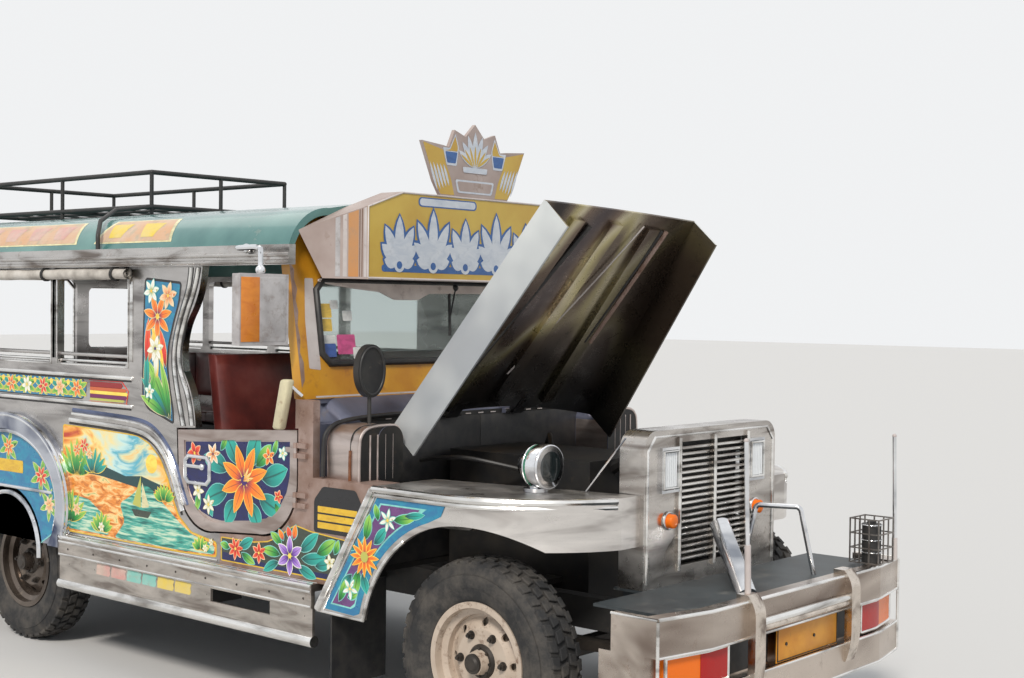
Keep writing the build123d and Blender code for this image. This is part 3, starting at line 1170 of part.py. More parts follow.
# Wire basket that stands on the bumper's beam, and the horn inside it
BASKET = 130.0
BASKET_X = BUMPER_X - 140.0
BASKET_Y = 600.0
BASKET_HIGH = 180.0
WIRE = 5.0
with BuildPart() as basket:
    far_x, far_y, top = BASKET_X + BASKET, BASKET_Y + BASKET, BUMPER_TOP + BASKET_HIGH
    for level in range(4):
        z = BUMPER_TOP + level * (BASKET_HIGH - WIRE) / 3
        block((BASKET_X, BASKET_Y, z), (far_x, far_y, z + WIRE))
        low = (BASKET_X + WIRE, BASKET_Y + WIRE, z)
        block(low, (far_x - WIRE, far_y - WIRE, z + WIRE), Mode.SUBTRACT)
    for step in range(4):
        shift = step * (BASKET - WIRE) / 3
        for y in (BASKET_Y, far_y - WIRE):
            block((BASKET_X + shift, y, BUMPER_TOP), (BASKET_X + shift + WIRE, y + WIRE, top))
        for x in (BASKET_X, far_x - WIRE):
            block((x, BASKET_Y + shift, BUMPER_TOP), (x + WIRE, BASKET_Y + shift + WIRE, top))
save(basket, "basket")

HORN_R = 38.0
with BuildPart() as horn:
    horn_x, horn_y = BASKET_X + BASKET / 2, BASKET_Y + BASKET / 2
    rod((horn_x, horn_y, BUMPER_TOP), (horn_x, horn_y, BUMPER_TOP + BASKET_HIGH - 25), HORN_R)
save(horn, "horn")

# Rolled-up side curtains under the gutters
CURTAIN_R = 30.0
with BuildPart() as curtain_rolls:
    y, z = -BODY_HALF - CURTAIN_R - SEAM, GUTTER_LOW - CURTAIN_R - SEAM
    rod((-2560, y, z), (-60, y, z), CURTAIN_R)
    mirror(about=Plane.XZ)
save(curtain_rolls, "curtain_rolls")

# Mud flaps behind the front wheels
with BuildPart() as mud_flaps:
    flap_x = BOARD_FRONT_X + 75
    block((flap_x, -BODY_HALF + SEAM, 180), (flap_x + 8, -WELL_IN, BODY_BOTTOM))
    mirror(about=Plane.XZ)
save(mud_flaps, "mud_flaps")

# Fuel tank and exhaust under the floor
with BuildPart() as fuel_tank:
    block((-560, 220 - BODY_HALF, 290), (60, -rail_out - 10, BOARD_TOP - 70))
save(fuel_tank, "fuel_tank")

with BuildPart() as exhaust:
    bent([(1215, 200, 510), (1100, 200, 510), (950, 210, 440), (300, 240, 440), (-300, 240, 440)], 50, 25)
    rod((-300, 240, 440), (-900, 240, 440), 70)
save(exhaust, "exhaust")
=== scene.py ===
import bmesh
import bpy
from math import cos, pi, radians, sin
from mathutils import Matrix, Vector


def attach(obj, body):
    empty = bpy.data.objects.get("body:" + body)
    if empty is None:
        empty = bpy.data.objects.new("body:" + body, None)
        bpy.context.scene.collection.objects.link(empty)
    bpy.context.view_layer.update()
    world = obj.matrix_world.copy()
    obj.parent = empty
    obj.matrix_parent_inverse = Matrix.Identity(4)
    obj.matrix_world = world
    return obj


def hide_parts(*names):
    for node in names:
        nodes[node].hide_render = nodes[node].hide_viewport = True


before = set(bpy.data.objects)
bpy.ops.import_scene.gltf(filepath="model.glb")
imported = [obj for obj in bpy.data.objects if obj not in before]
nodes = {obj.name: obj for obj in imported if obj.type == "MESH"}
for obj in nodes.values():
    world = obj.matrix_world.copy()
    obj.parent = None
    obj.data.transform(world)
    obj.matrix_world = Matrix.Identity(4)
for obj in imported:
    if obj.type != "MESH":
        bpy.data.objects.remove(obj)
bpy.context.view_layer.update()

# Camera: stands at the right front corner at eye height, looking back along the right side.
# Its place, turn and focal length were fitted to the wheels and the body's straight edges.
LENS_PIXELS = 1476.8
IMAGE_WIDTH = 1024
SENSOR_WIDTH = 36.0
CAMERA_PLACE = (5.475, -4.768, 1.662)
HEADING, DIP, LEAN = radians(130.907), radians(1.273), radians(0.669)
camera_data = bpy.data.cameras.new("camera")
camera_data.sensor_width = SENSOR_WIDTH
camera_data.lens = SENSOR_WIDTH * LENS_PIXELS / IMAGE_WIDTH
camera_data.clip_end = 200.0
camera = bpy.data.objects.new("camera", camera_data)
bpy.context.scene.collection.objects.link(camera)
ahead = Vector((cos(HEADING) * cos(DIP), sin(HEADING) * cos(DIP), -sin(DIP)))
level = ahead.cross(Vector((0, 0, 1))).normalized()
upright = level.cross(ahead)
across = level * cos(LEAN) + upright * sin(LEAN)
above = -level * sin(LEAN) + upright * cos(LEAN)
camera.matrix_world = Matrix.Translation(CAMERA_PLACE) @ Matrix((across, above, -ahead)).transposed().to_4x4()
bpy.context.scene.camera = camera

# Studio: a plain pale floor under soft light from above, brighter on the right where the sun stands.
# The sky turns plain and pale only for what sees it directly, in a reflection or through glass.
FLOOR_HALF = 60.0
floor_mesh = bpy.data.meshes.new("studio_floor")
floor_sheet = bmesh.new()
bmesh.ops.create_grid(floor_sheet, x_segments=1, y_segments=1, size=FLOOR_HALF)
floor_sheet.to_mesh(floor_mesh)
floor_sheet.free()
studio_floor = bpy.data.objects.new("studio_floor", floor_mesh)
bpy.context.scene.collection.objects.link(studio_floor)
floor_finish = bpy.data.materials.new("pale_floor")
floor_finish.use_nodes = True
floor_skin = floor_finish.node_tree.nodes["Principled BSDF"]
floor_skin.inputs["Base Color"].default_value = (0.62, 0.61, 0.6, 1)
floor_skin.inputs["Roughness"].default_value = 0.85
floor_mesh.materials.append(floor_finish)

world = bpy.data.worlds.new("studio_sky")
bpy.context.scene.world = world
world.use_nodes = True
sky = world.node_tree
sky.nodes.clear()


def either(first, second):
    """The larger of two of the sky's ray tests."""
    test = sky.nodes.new("ShaderNodeMath")
    test.operation = "MAXIMUM"
    sky.links.new(first, test.inputs[0])
    sky.links.new(second, test.inputs[1])
    return test.outputs[0]


def glow(colour, strength):
    """A plain light of the sky."""
    light = sky.nodes.new("ShaderNodeBackground")
    light.inputs["Color"].default_value = (*colour, 1)
    light.inputs["Strength"].default_value = strength
    return light.outputs[0]


rays = sky.nodes.new("ShaderNodeLightPath").outputs
direct = either(rays["Is Camera Ray"], either(rays["Is Glossy Ray"], rays["Is Transmission Ray"]))
pick = sky.nodes.new("ShaderNodeMixShader")
for socket, source in zip(pick.inputs, (direct, glow((0.86, 0.93, 1.0), 0.55), glow((0.92, 0.93, 0.94), 0.95))):
    sky.links.new(source, socket)
sky.links.new(pick.outputs[0], sky.nodes.new("ShaderNodeOutputWorld").inputs[0])

# Columns: name, turn and height in degrees, strength, apparent size in degrees
for name, turn, tip, strength, spread in (("sun", -62, 42, 2.6, 12), ("fill", 150, 60, 0.5, 60)):
    sun_data = bpy.data.lights.new(name, "SUN")
    sun_data.energy = strength
    sun_data.angle = radians(spread)
    sun_data.color = (1.0, 0.95, 0.88)
    sun = bpy.data.objects.new(name, sun_data)
    bpy.context.scene.collection.objects.link(sun)
    turn, tip = radians(turn), radians(tip)
    toward = -Vector((cos(turn) * cos(tip), sin(turn) * cos(tip), sin(tip)))
    sun.rotation_euler = toward.to_track_quat("-Z", "Y").to_euler()

bpy.context.scene.view_settings.view_transform = "Standard"

# Ladder frame, springs, axles and drive line: pressed and forged steel under the whole body.
# Riveted and bolted together, painted black once, now dull with road dust and old grease.


def skin_of(made):
    """The shader of a finish."""
    return made.node_tree.nodes["Principled BSDF"]


def surface(name, colour, rough, metal=0.0, coat=0.0):
    """A new finish with its plain colour, gloss, metalness and clear coat."""
    made = bpy.data.materials.new(name)
    made.use_nodes = True
    skin = skin_of(made)
    skin.inputs["Base Color"].default_value = (*colour, 1)
    skin.inputs["Roughness"].default_value = rough
    skin.inputs["Metallic"].default_value = metal
    skin.inputs["Coat Weight"].default_value = coat
    skin.inputs["Coat Roughness"].default_value = 0.12
    return made


def wire(made, socket, value):
    """Sets a socket to a value, or links another node's output to it."""
    if isinstance(value, bpy.types.NodeSocket):
        made.node_tree.links.new(value, socket)
    else:
        socket.default_value = value


def add(made, kind, **sockets):
    """A node of a finish, with its inputs by name; an input is a value or another node's output."""
    new = made.node_tree.nodes.new("ShaderNode" + kind)
    for key, value in sockets.items():
        wire(made, new.inputs[key], value)
    return new


def maths(made, how, *terms):
    """A number worked out from values and outputs."""
    new = add(made, "Math")
    new.operation = how
    for socket, term in zip(new.inputs, terms):
        wire(made, socket, term)
    return new.outputs[0]


def at_point(made):
    """The point's own place on the car, in metres."""
    return add(made, "TexCoord").outputs["Object"]


def clouds(made, scale, stretch=(1, 1, 1), detail=4.0, rough=0.55, twist=0.0):
    """Cloudy pattern; a larger stretch packs it closer along that axis."""
    at = add(made, "Mapping", Vector=at_point(made), Scale=stretch)
    cloud = add(made, "TexNoise", Vector=at.outputs[0], Scale=scale, Detail=detail, Roughness=rough, Distortion=twist)
    return cloud.outputs["Fac"]


def between(made, factor, low, high, start=0.0, end=1.0):
    """Factor spread so that low gives start and high gives end, held beyond them."""
    spread = add(made, "MapRange", Value=factor)
    for socket, value in zip(spread.inputs[1:5], (low, high, start, end)):
        socket.default_value = value
    return spread.outputs[0]


def mixed(made, factor, first, second):
    """Colour between first and second, each a colour or an output."""
    mix = made.node_tree.nodes.new("ShaderNodeMix")
    mix.data_type = "RGBA"
    made.node_tree.links.new(factor, mix.inputs["Factor"])
    for place, value in ((6, first), (7, second)):
        wire(made, mix.inputs[place], value if isinstance(value, bpy.types.NodeSocket) else (*value, 1))
    return mix.outputs[2]


def shades(made, factor, *stops):
    """Colour ramp over a factor; each stop is (place, colour)."""
    ramp = add(made, "ValToRGB", Fac=factor)
    for count, (place, colour) in enumerate(stops):
        mark = ramp.color_ramp.elements[count] if count < 2 else ramp.color_ramp.elements.new(place)
        mark.position = place
        mark.color = (*colour, 1)
    return ramp.outputs["Color"]


def feed(made, socket, source):
    """Puts an output on the finish's own input."""
    made.node_tree.links.new(source, skin_of(made).inputs[socket])


def dents(made, height, depth, strength=0.5):
    """Relief from a height pattern, depth in metres."""
    relief = add(made, "Bump", Height=height, Distance=depth, Strength=strength)
    feed(made, "Normal", relief.outputs[0])


def worn(name, light, dark, grime, rough, metal=0.0, coat=0.0, size=5.0, dirt=0.4, depth=0.0006):
    """A used finish: two tones in clouds, grime in patches, uneven gloss, shallow dents."""
    made = surface(name, light, rough, metal, coat)
    tone = mixed(made, between(made, clouds(made, size), 0.35, 0.65), light, dark)
    patch = between(made, clouds(made, size * 2.6, detail=9.0, rough=0.7), 0.74 - 0.3 * dirt, 0.8)
    feed(made, "Base Color", mixed(made, patch, tone, grime))
    feed(made, "Roughness", between(made, patch, 0.0, 1.0, rough, min(0.9, rough + 0.35)))
    dents(made, clouds(made, size * 1.4, detail=6.0), depth)
    return made


def coat_nodes(made, *names):
    """Gives a finish to the car's own solids."""
    for name in names:
        nodes[name].data.materials.clear()
        nodes[name].data.materials.append(made)


black_steel = worn(
    "black_steel", (0.018, 0.018, 0.019), (0.034, 0.032, 0.03), (0.085, 0.066, 0.05), 0.55, size=7.0, dirt=0.5
)
greasy_iron = worn(
    "greasy_iron", (0.06, 0.05, 0.042), (0.03, 0.026, 0.023), (0.14, 0.095, 0.06), 0.5, metal=0.4, size=12.0
)
engine_black = worn(
    "engine_black", (0.014, 0.014, 0.015), (0.028, 0.025, 0.022), (0.075, 0.055, 0.04), 0.5, 0.2, size=9.0, dirt=0.45
)
coat_nodes(black_steel, "chassis_frame", "tie_rod", "radiator", "fuel_tank", "floor", "seat_bases", "roof_rack")
coat_nodes(engine_black, "engine_block")
coat_nodes(
    greasy_iron, "leaf_springs", "front_axle", "rear_axle", "knuckle_right", "knuckle_left", "drive_shaft", "exhaust"
)

# Tyres: bias-ply bus tyres, black rubber gone grey with dust, on 16 inch rims.
# The tread is cut in blocks round the crown, with ribs and rings on the side walls.
WHEEL_X = {"front": 1.93, "rear": -1.07}
HUB_Z = 0.378
TRACK_Y = 0.782
SIDES = ((-1, "right"), (1, "left"))


def finished(name, shape, finishes, smooth=35.0, body="body"):
    """A piece from its bmesh: linked, finished, smooth where flatter than the angle, riding on its body."""
    mesh = bpy.data.meshes.new(name)
    shape.to_mesh(mesh)
    shape.free()
    for made in finishes:
        mesh.materials.append(made)
    piece = bpy.data.objects.new(name, mesh)
    bpy.context.scene.collection.objects.link(piece)
    if smooth:
        mesh.shade_smooth()
        mesh.set_sharp_from_angle(angle=radians(smooth))
    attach(piece, body)
    return piece


def slab(shape, one, other, round_by=0.0, slot=0, steps=2):
    """A box between two corners, its edges rounded."""
    middle = [(a + b) / 2 for a, b in zip(one, other)]
    span = [abs(b - a) for a, b in zip(one, other)]
    place = Matrix.Translation(middle) @ Matrix.Diagonal((*span, 1))
    verts = bmesh.ops.create_cube(shape, size=1.0, matrix=place)["verts"]
    edges = list({edge for vert in verts for edge in vert.link_edges})
    for face in {face for vert in verts for face in vert.link_faces}:
        face.material_index = slot
    if round_by:
        grown = bmesh.ops.bevel(
            shape, geom=edges, offset=round_by, segments=steps, profile=0.5, affect="EDGES", material=-1
        )
        verts = list({vert for face in grown["faces"] for vert in face.verts} | {v for v in verts if v.is_valid})
    return verts


def to_wheel(name, shape, end, side, hand, finishes, smooth=35.0):
    """Moves a fitting made round the origin to its wheel and finishes it there."""
    bmesh.ops.recalc_face_normals(shape, faces=shape.faces)
    bmesh.ops.translate(shape, verts=shape.verts, vec=(WHEEL_X[end], side * TRACK_Y, HUB_Z))
    return finished(f"{name}_{end}_{hand}", shape, finishes, smooth, f"wheel_{end}_{hand}")


tyre_rubber = surface("tyre_rubber", (0.028, 0.027, 0.026), 0.8)
rubber_dust = between(tyre_rubber, clouds(tyre_rubber, 9.0, detail=8.0, rough=0.7), 0.42, 0.72)
rubber_tone = mixed(tyre_rubber, rubber_dust, (0.02, 0.02, 0.021), (0.1, 0.088, 0.075))
feed(tyre_rubber, "Base Color", rubber_tone)
dents(tyre_rubber, clouds(tyre_rubber, 130.0, detail=3.0), 0.0005, 0.4)

# Columns: distance out from the tyre's middle, radius
TYRE_HALF_PROFILE = [
    (-0.0718, 0.2045), (-0.0718, 0.2235), (-0.080, 0.232), (-0.088, 0.262), (-0.0945, 0.288), (-0.0925, 0.315),
    (-0.087, 0.338), (-0.0785, 0.3545), (-0.074, 0.3605), (-0.045, 0.3655),
]
TYRE_CROWN = (0.0, 0.3665)
TYRE_PROFILE = TYRE_HALF_PROFILE + [TYRE_CROWN] + [(-y, radius) for y, radius in reversed(TYRE_HALF_PROFILE)]
# Columns: from, to across the tread, turn from the block before, lean of the block
TREAD_ROWS = [
    (-0.0785, -0.047, 0.0, 0.18), (-0.041, -0.004, 0.5, -0.3), (0.004, 0.041, 0.0, 0.3), (0.047, 0.0785, 0.5, -0.18),
]
TREAD_BLOCKS = 40
BLOCK_LONG = 0.041
# Block foot and top as radii: shoulder blocks, then middle blocks
SHOULDER_BLOCK, MIDDLE_BLOCK = (0.352, 0.3745), (0.3635, 0.3772)
for end in WHEEL_X:
    for side, hand in SIDES:
        carcass = bmesh.new()
        rim_line = [carcass.verts.new((0, y, radius)) for y, radius in TYRE_PROFILE]
        edges = [carcass.edges.new(pair) for pair in zip(rim_line, rim_line[1:] + rim_line[:1])]
        bmesh.ops.spin(
            carcass, geom=rim_line + edges, cent=(0, 0, 0), axis=(0, 1, 0), angle=2 * pi, steps=72, use_merge=True
        )
        bmesh.ops.remove_doubles(carcass, verts=carcass.verts, dist=0.00005)
        for near, far, shift, lean in TREAD_ROWS:
            shoulder = abs(near + far) > 0.1
            foot, top = SHOULDER_BLOCK if shoulder else MIDDLE_BLOCK
            for count in range(TREAD_BLOCKS):
                block = slab(carcass, (-BLOCK_LONG / 2, near, foot), (BLOCK_LONG / 2, far, top), 0.0022, 0, 1)
                for vert in block:
                    vert.co.x += lean * (vert.co.y - (near + far) / 2)
                    if shoulder and vert.co.z > 0.365 and abs(vert.co.y) > 0.07:
                        vert.co.z -= 0.006
                turn = Matrix.Rotation(2 * pi * (count + shift) / TREAD_BLOCKS, 3, "Y")
                bmesh.ops.rotate(carcass, verts=block, cent=(0, 0, 0), matrix=turn)
        for ring_r, ring_y in ((0.268, 0.0898), (0.318, 0.0925)):
            for face in (-1, 1):
                ring = bmesh.ops.create_circle(
                    carcass, segments=72, radius=ring_r, matrix=Matrix.Rotation(pi / 2, 4, "X")
                )
                bmesh.ops.translate(carcass, verts=ring["verts"], vec=(0, face * ring_y, 0))
                loop = list({edge for vert in ring["verts"] for edge in vert.link_edges})
                wide = bmesh.ops.extrude_edge_only(carcass, edges=loop)
                verts = [part for part in wide["geom"] if isinstance(part, bmesh.types.BMVert)]
                grow = (ring_r + 0.004) / ring_r
                bmesh.ops.scale(carcass, verts=verts, vec=(grow, 1, grow))
                bmesh.ops.translate(carcass, verts=verts, vec=(0, face * 0.0014, 0))
        tyre = to_wheel("tread", carcass, end, side, hand, [tyre_rubber], 30.0)
        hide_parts(f"tyre_{end}_{hand}")

# Wheels: pressed steel discs and rims, dusty beige enamel in front and dark bare steel behind, rusty at the holes.
# Six nuts hold each disc to its drum; a greasy hub with a cap and its own bolts stands through the middle.


def bar(shape, start, end, radius, faces=12, slot=0, end_radius=None):
    """A round bar between two points, with closed ends."""
    start, end = Vector(start), Vector(end)
    run = end - start
    place = Matrix.Translation((start + end) / 2) @ run.to_track_quat("Z", "Y").to_matrix().to_4x4()
    tip = radius if end_radius is None else end_radius
    made = bmesh.ops.create_cone(
        shape, cap_ends=True, segments=faces, radius1=radius, radius2=tip, depth=run.length, matrix=place
    )
    for vert in made["verts"]:
        for face in vert.link_faces:
            face.material_index = slot


wheel_enamel = surface("wheel_enamel", (0.5, 0.42, 0.34), 0.5, coat=0.15)
enamel_tone = mixed(wheel_enamel, clouds(wheel_enamel, 11.0), (0.6, 0.51, 0.42), (0.4, 0.31, 0.24))
enamel_rust = between(wheel_enamel, clouds(wheel_enamel, 26.0, detail=10.0, rough=0.72), 0.53, 0.68)
feed(wheel_enamel, "Base Color", mixed(wheel_enamel, enamel_rust, enamel_tone, (0.17, 0.1, 0.065)))
feed(wheel_enamel, "Roughness", between(wheel_enamel, enamel_rust, 0.0, 1.0, 0.42, 0.8))
dents(wheel_enamel, enamel_rust, 0.0008, 0.4)
coat_nodes(wheel_enamel, "wheel_front_right", "wheel_front_left")
wheel_steel = worn(
    "rear_wheel_steel", (0.2, 0.165, 0.14), (0.06, 0.045, 0.035), (0.42, 0.34, 0.26), 0.26, 0.75, size=4.0, dirt=0.5
)
coat_nodes(wheel_steel, "wheel_rear_right", "wheel_rear_left")

NUT_RING_R, NUT_COUNT = 0.103, 6
CAP_RING_R, CAP_BOLTS = 0.049, 8
# Washer, nut and stud end. Columns: from, to, radius, faces
NUT_STEPS = [(0.036, 0.043, 0.0165, 18), (0.042, 0.056, 0.0125, 6), (0.056, 0.066, 0.0065, 10)]
# Flange, barrel and cap of the hub. Columns: from, to, radius, end radius
HUB_STEPS = [(0.04, 0.052, 0.064, 0.056), (0.052, 0.094, 0.0405, 0.036), (0.094, 0.1, 0.028, 0.02)]
for end in WHEEL_X:
    for side, hand in SIDES:
        hub = bmesh.new()
        for count in range(NUT_COUNT):
            turn = 2 * pi * count / NUT_COUNT
            x, z = NUT_RING_R * cos(turn), NUT_RING_R * sin(turn)
            for low, high, radius, faces in NUT_STEPS:
                bar(hub, (x, low, z), (x, high, z), radius, faces)
        for low, high, radius, tip in HUB_STEPS:
            bar(hub, (0, low, 0), (0, high, 0), radius, 32, end_radius=tip)
        for count in range(CAP_BOLTS):
            turn = 2 * pi * count / CAP_BOLTS
            x, z = CAP_RING_R * cos(turn), CAP_RING_R * sin(turn)
            bar(hub, (x, 0.05, z), (x, 0.058, z), 0.0052, 6)
        bmesh.ops.scale(hub, verts=hub.verts, vec=(1, side, 1))
        to_wheel("hub_nuts", hub, end, side, hand, [greasy_iron])

# Body sides: polished stainless sheet folded over a frame, dull, stained and slightly dented by use.
# Bright mouldings are riveted along the belt; the panels between them are hand painted in gloss enamel.
BODY_Y = 0.93
RIGHTWARD = Vector((0, -1, 0))
FORWARD = Vector((1, 0, 0))


def polished(name, light, dark, stain, rough, size=2.2, dirt=0.35, streak=(1, 1, 5), depth=0.004):
    """Sheet metal with painted drawn-out reflections in its colour, stains in patches and rubbed places, and long
    shallow dents.
    """
    made = surface(name, light, rough, 1.0)
    # Painted reflections: stretched clouds run the colour from dark through light to brighter.
    painted_reflection = clouds(made, size, stretch=streak, detail=3.0, twist=0.6)
    tone = shades(made, painted_reflection, (0.33, dark), (0.5, light), (0.72, [min(1, c * 1.25) for c in light]))
    patch = between(made, clouds(made, size * 5, detail=9.0, rough=0.72), 0.78 - 0.35 * dirt, 0.86)
    scratch = between(made, clouds(made, 60.0, stretch=(1, 1, 12), detail=2.0), 0.6, 0.75, 0.0, 0.35)
    tone = mixed(made, scratch, tone, dark)
    feed(made, "Base Color", mixed(made, patch, tone, stain))
    feed(made, "Metallic", between(made, patch, 0.0, 1.0, 1.0, 0.35))
    feed(made, "Roughness", between(made, clouds(made, size * 3.1), 0.3, 0.7, rough - 0.08, rough + 0.12))
    dents(made, clouds(made, size * 0.9, detail=2.0), depth, 0.35)
    return made


stainless = polished("stainless_sheet", (0.5, 0.48, 0.465), (0.22, 0.205, 0.2), (0.24, 0.15, 0.1), 0.27)
bright_trim = polished(
    "bright_trim", (0.78, 0.77, 0.75), (0.36, 0.34, 0.32), (0.3, 0.2, 0.13), 0.15, 3.0, 0.25, depth=0.001
)
chrome = polished(
    "old_chrome", (0.74, 0.75, 0.77), (0.3, 0.32, 0.36), (0.2, 0.12, 0.07), 0.1, 3.0, 0.22, (1, 1, 2), 0.002
)
black_edge = worn("black_edge", (0.012, 0.012, 0.014), (0.03, 0.028, 0.026), (0.12, 0.09, 0.06), 0.5, size=20.0)
coat_nodes(stainless, "body_side_right", "body_side_left", "rear_portal")


def tube(shape, points, radius, slot=0, curved=True, closed=False, round_by=2):
    """A round moulding along points; curved runs smoothly near them, else straight from one to the next."""
    line = bpy.data.curves.new("moulding", "CURVE")
    line.dimensions = "3D"
    line.bevel_depth = radius
    line.bevel_resolution = round_by
    line.use_fill_caps = True
    line.resolution_u = 8
    run = line.splines.new("NURBS" if curved else "POLY")
    run.points.add(len(points) - 1)
    for point, place in zip(run.points, points):
        point.co = (*place, 1)
    run.order_u = 3
    run.use_endpoint_u = not closed
    run.use_cyclic_u = closed
    holder = bpy.data.objects.new("moulding", line)
    mesh = bpy.data.meshes.new_from_object(holder)
    before = set(shape.faces)
    shape.from_mesh(mesh)
    for face in set(shape.faces) - before:
        face.material_index = PAINT.get(slot, slot)
    bpy.data.objects.remove(holder)
    bpy.data.curves.remove(line)
    bpy.data.meshes.remove(mesh)


def ball(shape, place, radius, around, rings, stretch=(1, 1, 1), slot=None):
    """A ball, or an ellipsoid when it is stretched."""
    matrix = Matrix.Translation(place) @ Matrix.Diagonal((*stretch, 1))
    made = bmesh.ops.create_uvsphere(shape, u_segments=around, v_segments=rings, radius=radius, matrix=matrix)
    if slot is not None:
        for face in {face for vert in made["verts"] for face in vert.link_faces}:
            face.material_index = slot


def arc(middle, reach, turns, tall=None):
    """Places on a circle, or on an ellipse of another height, at turns in degrees."""
    tall = reach if tall is None else tall
    return [(middle[0] + reach * cos(radians(turn)), middle[1] + tall * sin(radians(turn))) for turn in turns]


def show(face, way, slot):
    """Gives a new face its finish and lets it look the given way."""
    face.normal_update()
    if face.normal.dot(way) < 0:
        face.normal_flip()
    face.material_index = slot


def canvas():
    """An empty picture, ready for strokes that carry their own layout."""
    art = bmesh.new()
    art.loops.layers.uv.new("UVMap")
    return art


def on_side(points, out):
    """Points (x, z) of the right side as places in the car, out metres from its middle."""
    return [(x, -out, z) for x, z in points]


def patch(art, points, out, tone, round_by=0.0, line=0.0, line_tone=None):
    """A flat painted field from its (x, z) corners, with round corners and a pinstripe inside its edge."""
    corners = [art.verts.new(place) for place in on_side(points, out)]
    face = art.faces.new(corners)
    show(face, RIGHTWARD, PAINT[tone])
    if round_by:
        bmesh.ops.bevel(art, geom=corners, offset=round_by, segments=5, profile=0.5, affect="VERTICES", material=-1)
        art.faces.ensure_lookup_table()
        face = art.faces[-1]
    if line:
        ring = bmesh.ops.inset_region(art, faces=[face], thickness=line, use_boundary=True, use_even_offset=True)
        for edge_face in ring["faces"]:
            edge_face.material_index = PAINT[line_tone]


def stroke(art, root, turn, long, wide, out, tone, edge_tone=None, curl=0.0, fat=0.5):
    """One brush stroke, petal or leaf from its root (x, z): turn in degrees, with a lighter edge under it.

    Each stroke lies a hair over the one before, as a later touch of paint does.
    """
    out += 5e-7 * (len(art.faces) % 600)
    face_up = Matrix(((1, 0, 0, 0), (0, 0, -1, 0), (0, 1, 0, 0), (0, 0, 0, 1)))
    for grow, lift, colour in ((0.0035, 0.0, edge_tone), (0.0, 0.00025, tone)):
        if colour is None:
            continue
        made = bmesh.ops.create_grid(art, x_segments=7, y_segments=2, size=0.5, calc_uvs=True)
        for vert in made["verts"]:
            step = vert.co.x + 0.5
            width = sin(pi * step**(0.5 / fat * 0.75 + 0.25)) ** 0.75 if 0 < step < 1 else 0.0
            vert.co.x = step * (long + grow) - grow * (1 - step)
            vert.co.y *= (wide + 2 * grow) * max(width, 0.02)
            vert.co.y += curl * long * step * step
        place = Matrix.Translation((root[0], -out - lift, root[1])) @ face_up @ Matrix.Rotation(radians(turn), 4, "Z")
        bmesh.ops.transform(art, matrix=place, verts=made["verts"])
        for face in {face for vert in made["verts"] for face in vert.link_faces}:
            face.material_index = PAINT[colour]


def leaves(art, out, rows, edge_tone, curl):
    """A spray of strokes; each row is root x, root z, turn, length, width, colour."""
    for x, z, turn, long, wide, tone in rows:
        stroke(art, (x, z), turn, long, wide, out, tone, edge_tone, curl)


def disc(art, middle, radius, out, tone, faces=20):
    """A round dab of paint."""
    place = Matrix.Translation((middle[0], -out, middle[1])) @ Matrix.Rotation(pi / 2, 4, "X")
    made = bmesh.ops.create_circle(art, cap_ends=True, segments=faces, radius=radius, matrix=place)
    for face in {face for vert in made["verts"] for face in vert.link_faces}:
        show(face, RIGHTWARD, PAINT[tone])


def flower(art, middle, out, radius, petals, tone, edge_tone, heart_tone="sun", wide=0.95, turn=12.0, fat=0.62):
    """An open flower: a ring of petals round a heart."""
    for count in range(petals):
        angle = turn + 360.0 * count / petals
        start = (middle[0] + 0.1 * radius * cos(radians(angle)), middle[1] + 0.1 * radius * sin(radians(angle)))
        lift = out + 0.0003 * (count % 2)
        stroke(art, start, angle, 0.9 * radius, wide * radius * 2.6 / petals, lift, tone, edge_tone, 0.0, fat)
    disc(art, middle, 0.13 * radius, out + 0.001, heart_tone)


def flowers(art, out, rows):
    """Flowers one after another. Columns: middle, lift over out, radius, petals, colour, edge, heart, width, turn."""
    for middle, lift, *rest in rows:
        flower(art, middle, out + lift, *rest)


def paint(name, colour, second=None):
    """Brushed enamel: one colour worked unevenly into a second, with a glossy coat and faint brush marks."""
    second = second or tuple(0.55 * c for c in colour)
    made = surface(name, colour, 0.32, coat=0.35)
    marks = clouds(made, 14.0, stretch=(1, 1, 2.2), detail=5.0, rough=0.6, twist=0.8)
    feed(made, "Base Color", mixed(made, between(made, marks, 0.4, 0.75), colour, second))
    feed(made, "Roughness", between(made, clouds(made, 30.0), 0.3, 0.7, 0.24, 0.46))
    dents(made, marks, 0.0004, 0.3)
    return made


def petal_paint(name, root, body, tip, vein):
    """Enamel shaded along a stroke, from its root to its tip, with a darker middle line and fine hairs."""
    made = surface(name, body, 0.3, coat=0.35)
    layout = add(made, "UVMap").outputs[0]
    part = add(made, "SeparateXYZ", Vector=layout).outputs
    hairs = add(made, "Mapping", Vector=layout, Scale=(1.5, 16, 1))
    hair = add(made, "TexNoise", Vector=hairs.outputs[0], Scale=1.0, Detail=3.0)
    run = maths(made, "MULTIPLY_ADD", hair.outputs["Fac"], 0.45, part[0])
    tone = shades(made, run, (0.28, root), (0.55, body), (1.25, tip))
    off = maths(made, "ABSOLUTE", maths(made, "SUBTRACT", part[1], 0.5))
    feed(
        made, "Base Color", mixed(made, between(made, off, 0.02, 0.07, vein, 0.0), tone, tuple(0.45 * c for c in root))
    )
    return made


ENAMELS = {}
PAINT = {}


def keep(made, name=None):
    """Puts an enamel in the box that every later picture is finished with."""
    name = name or made.name
    ENAMELS[name] = made
    PAINT[name] = len(PAINT)


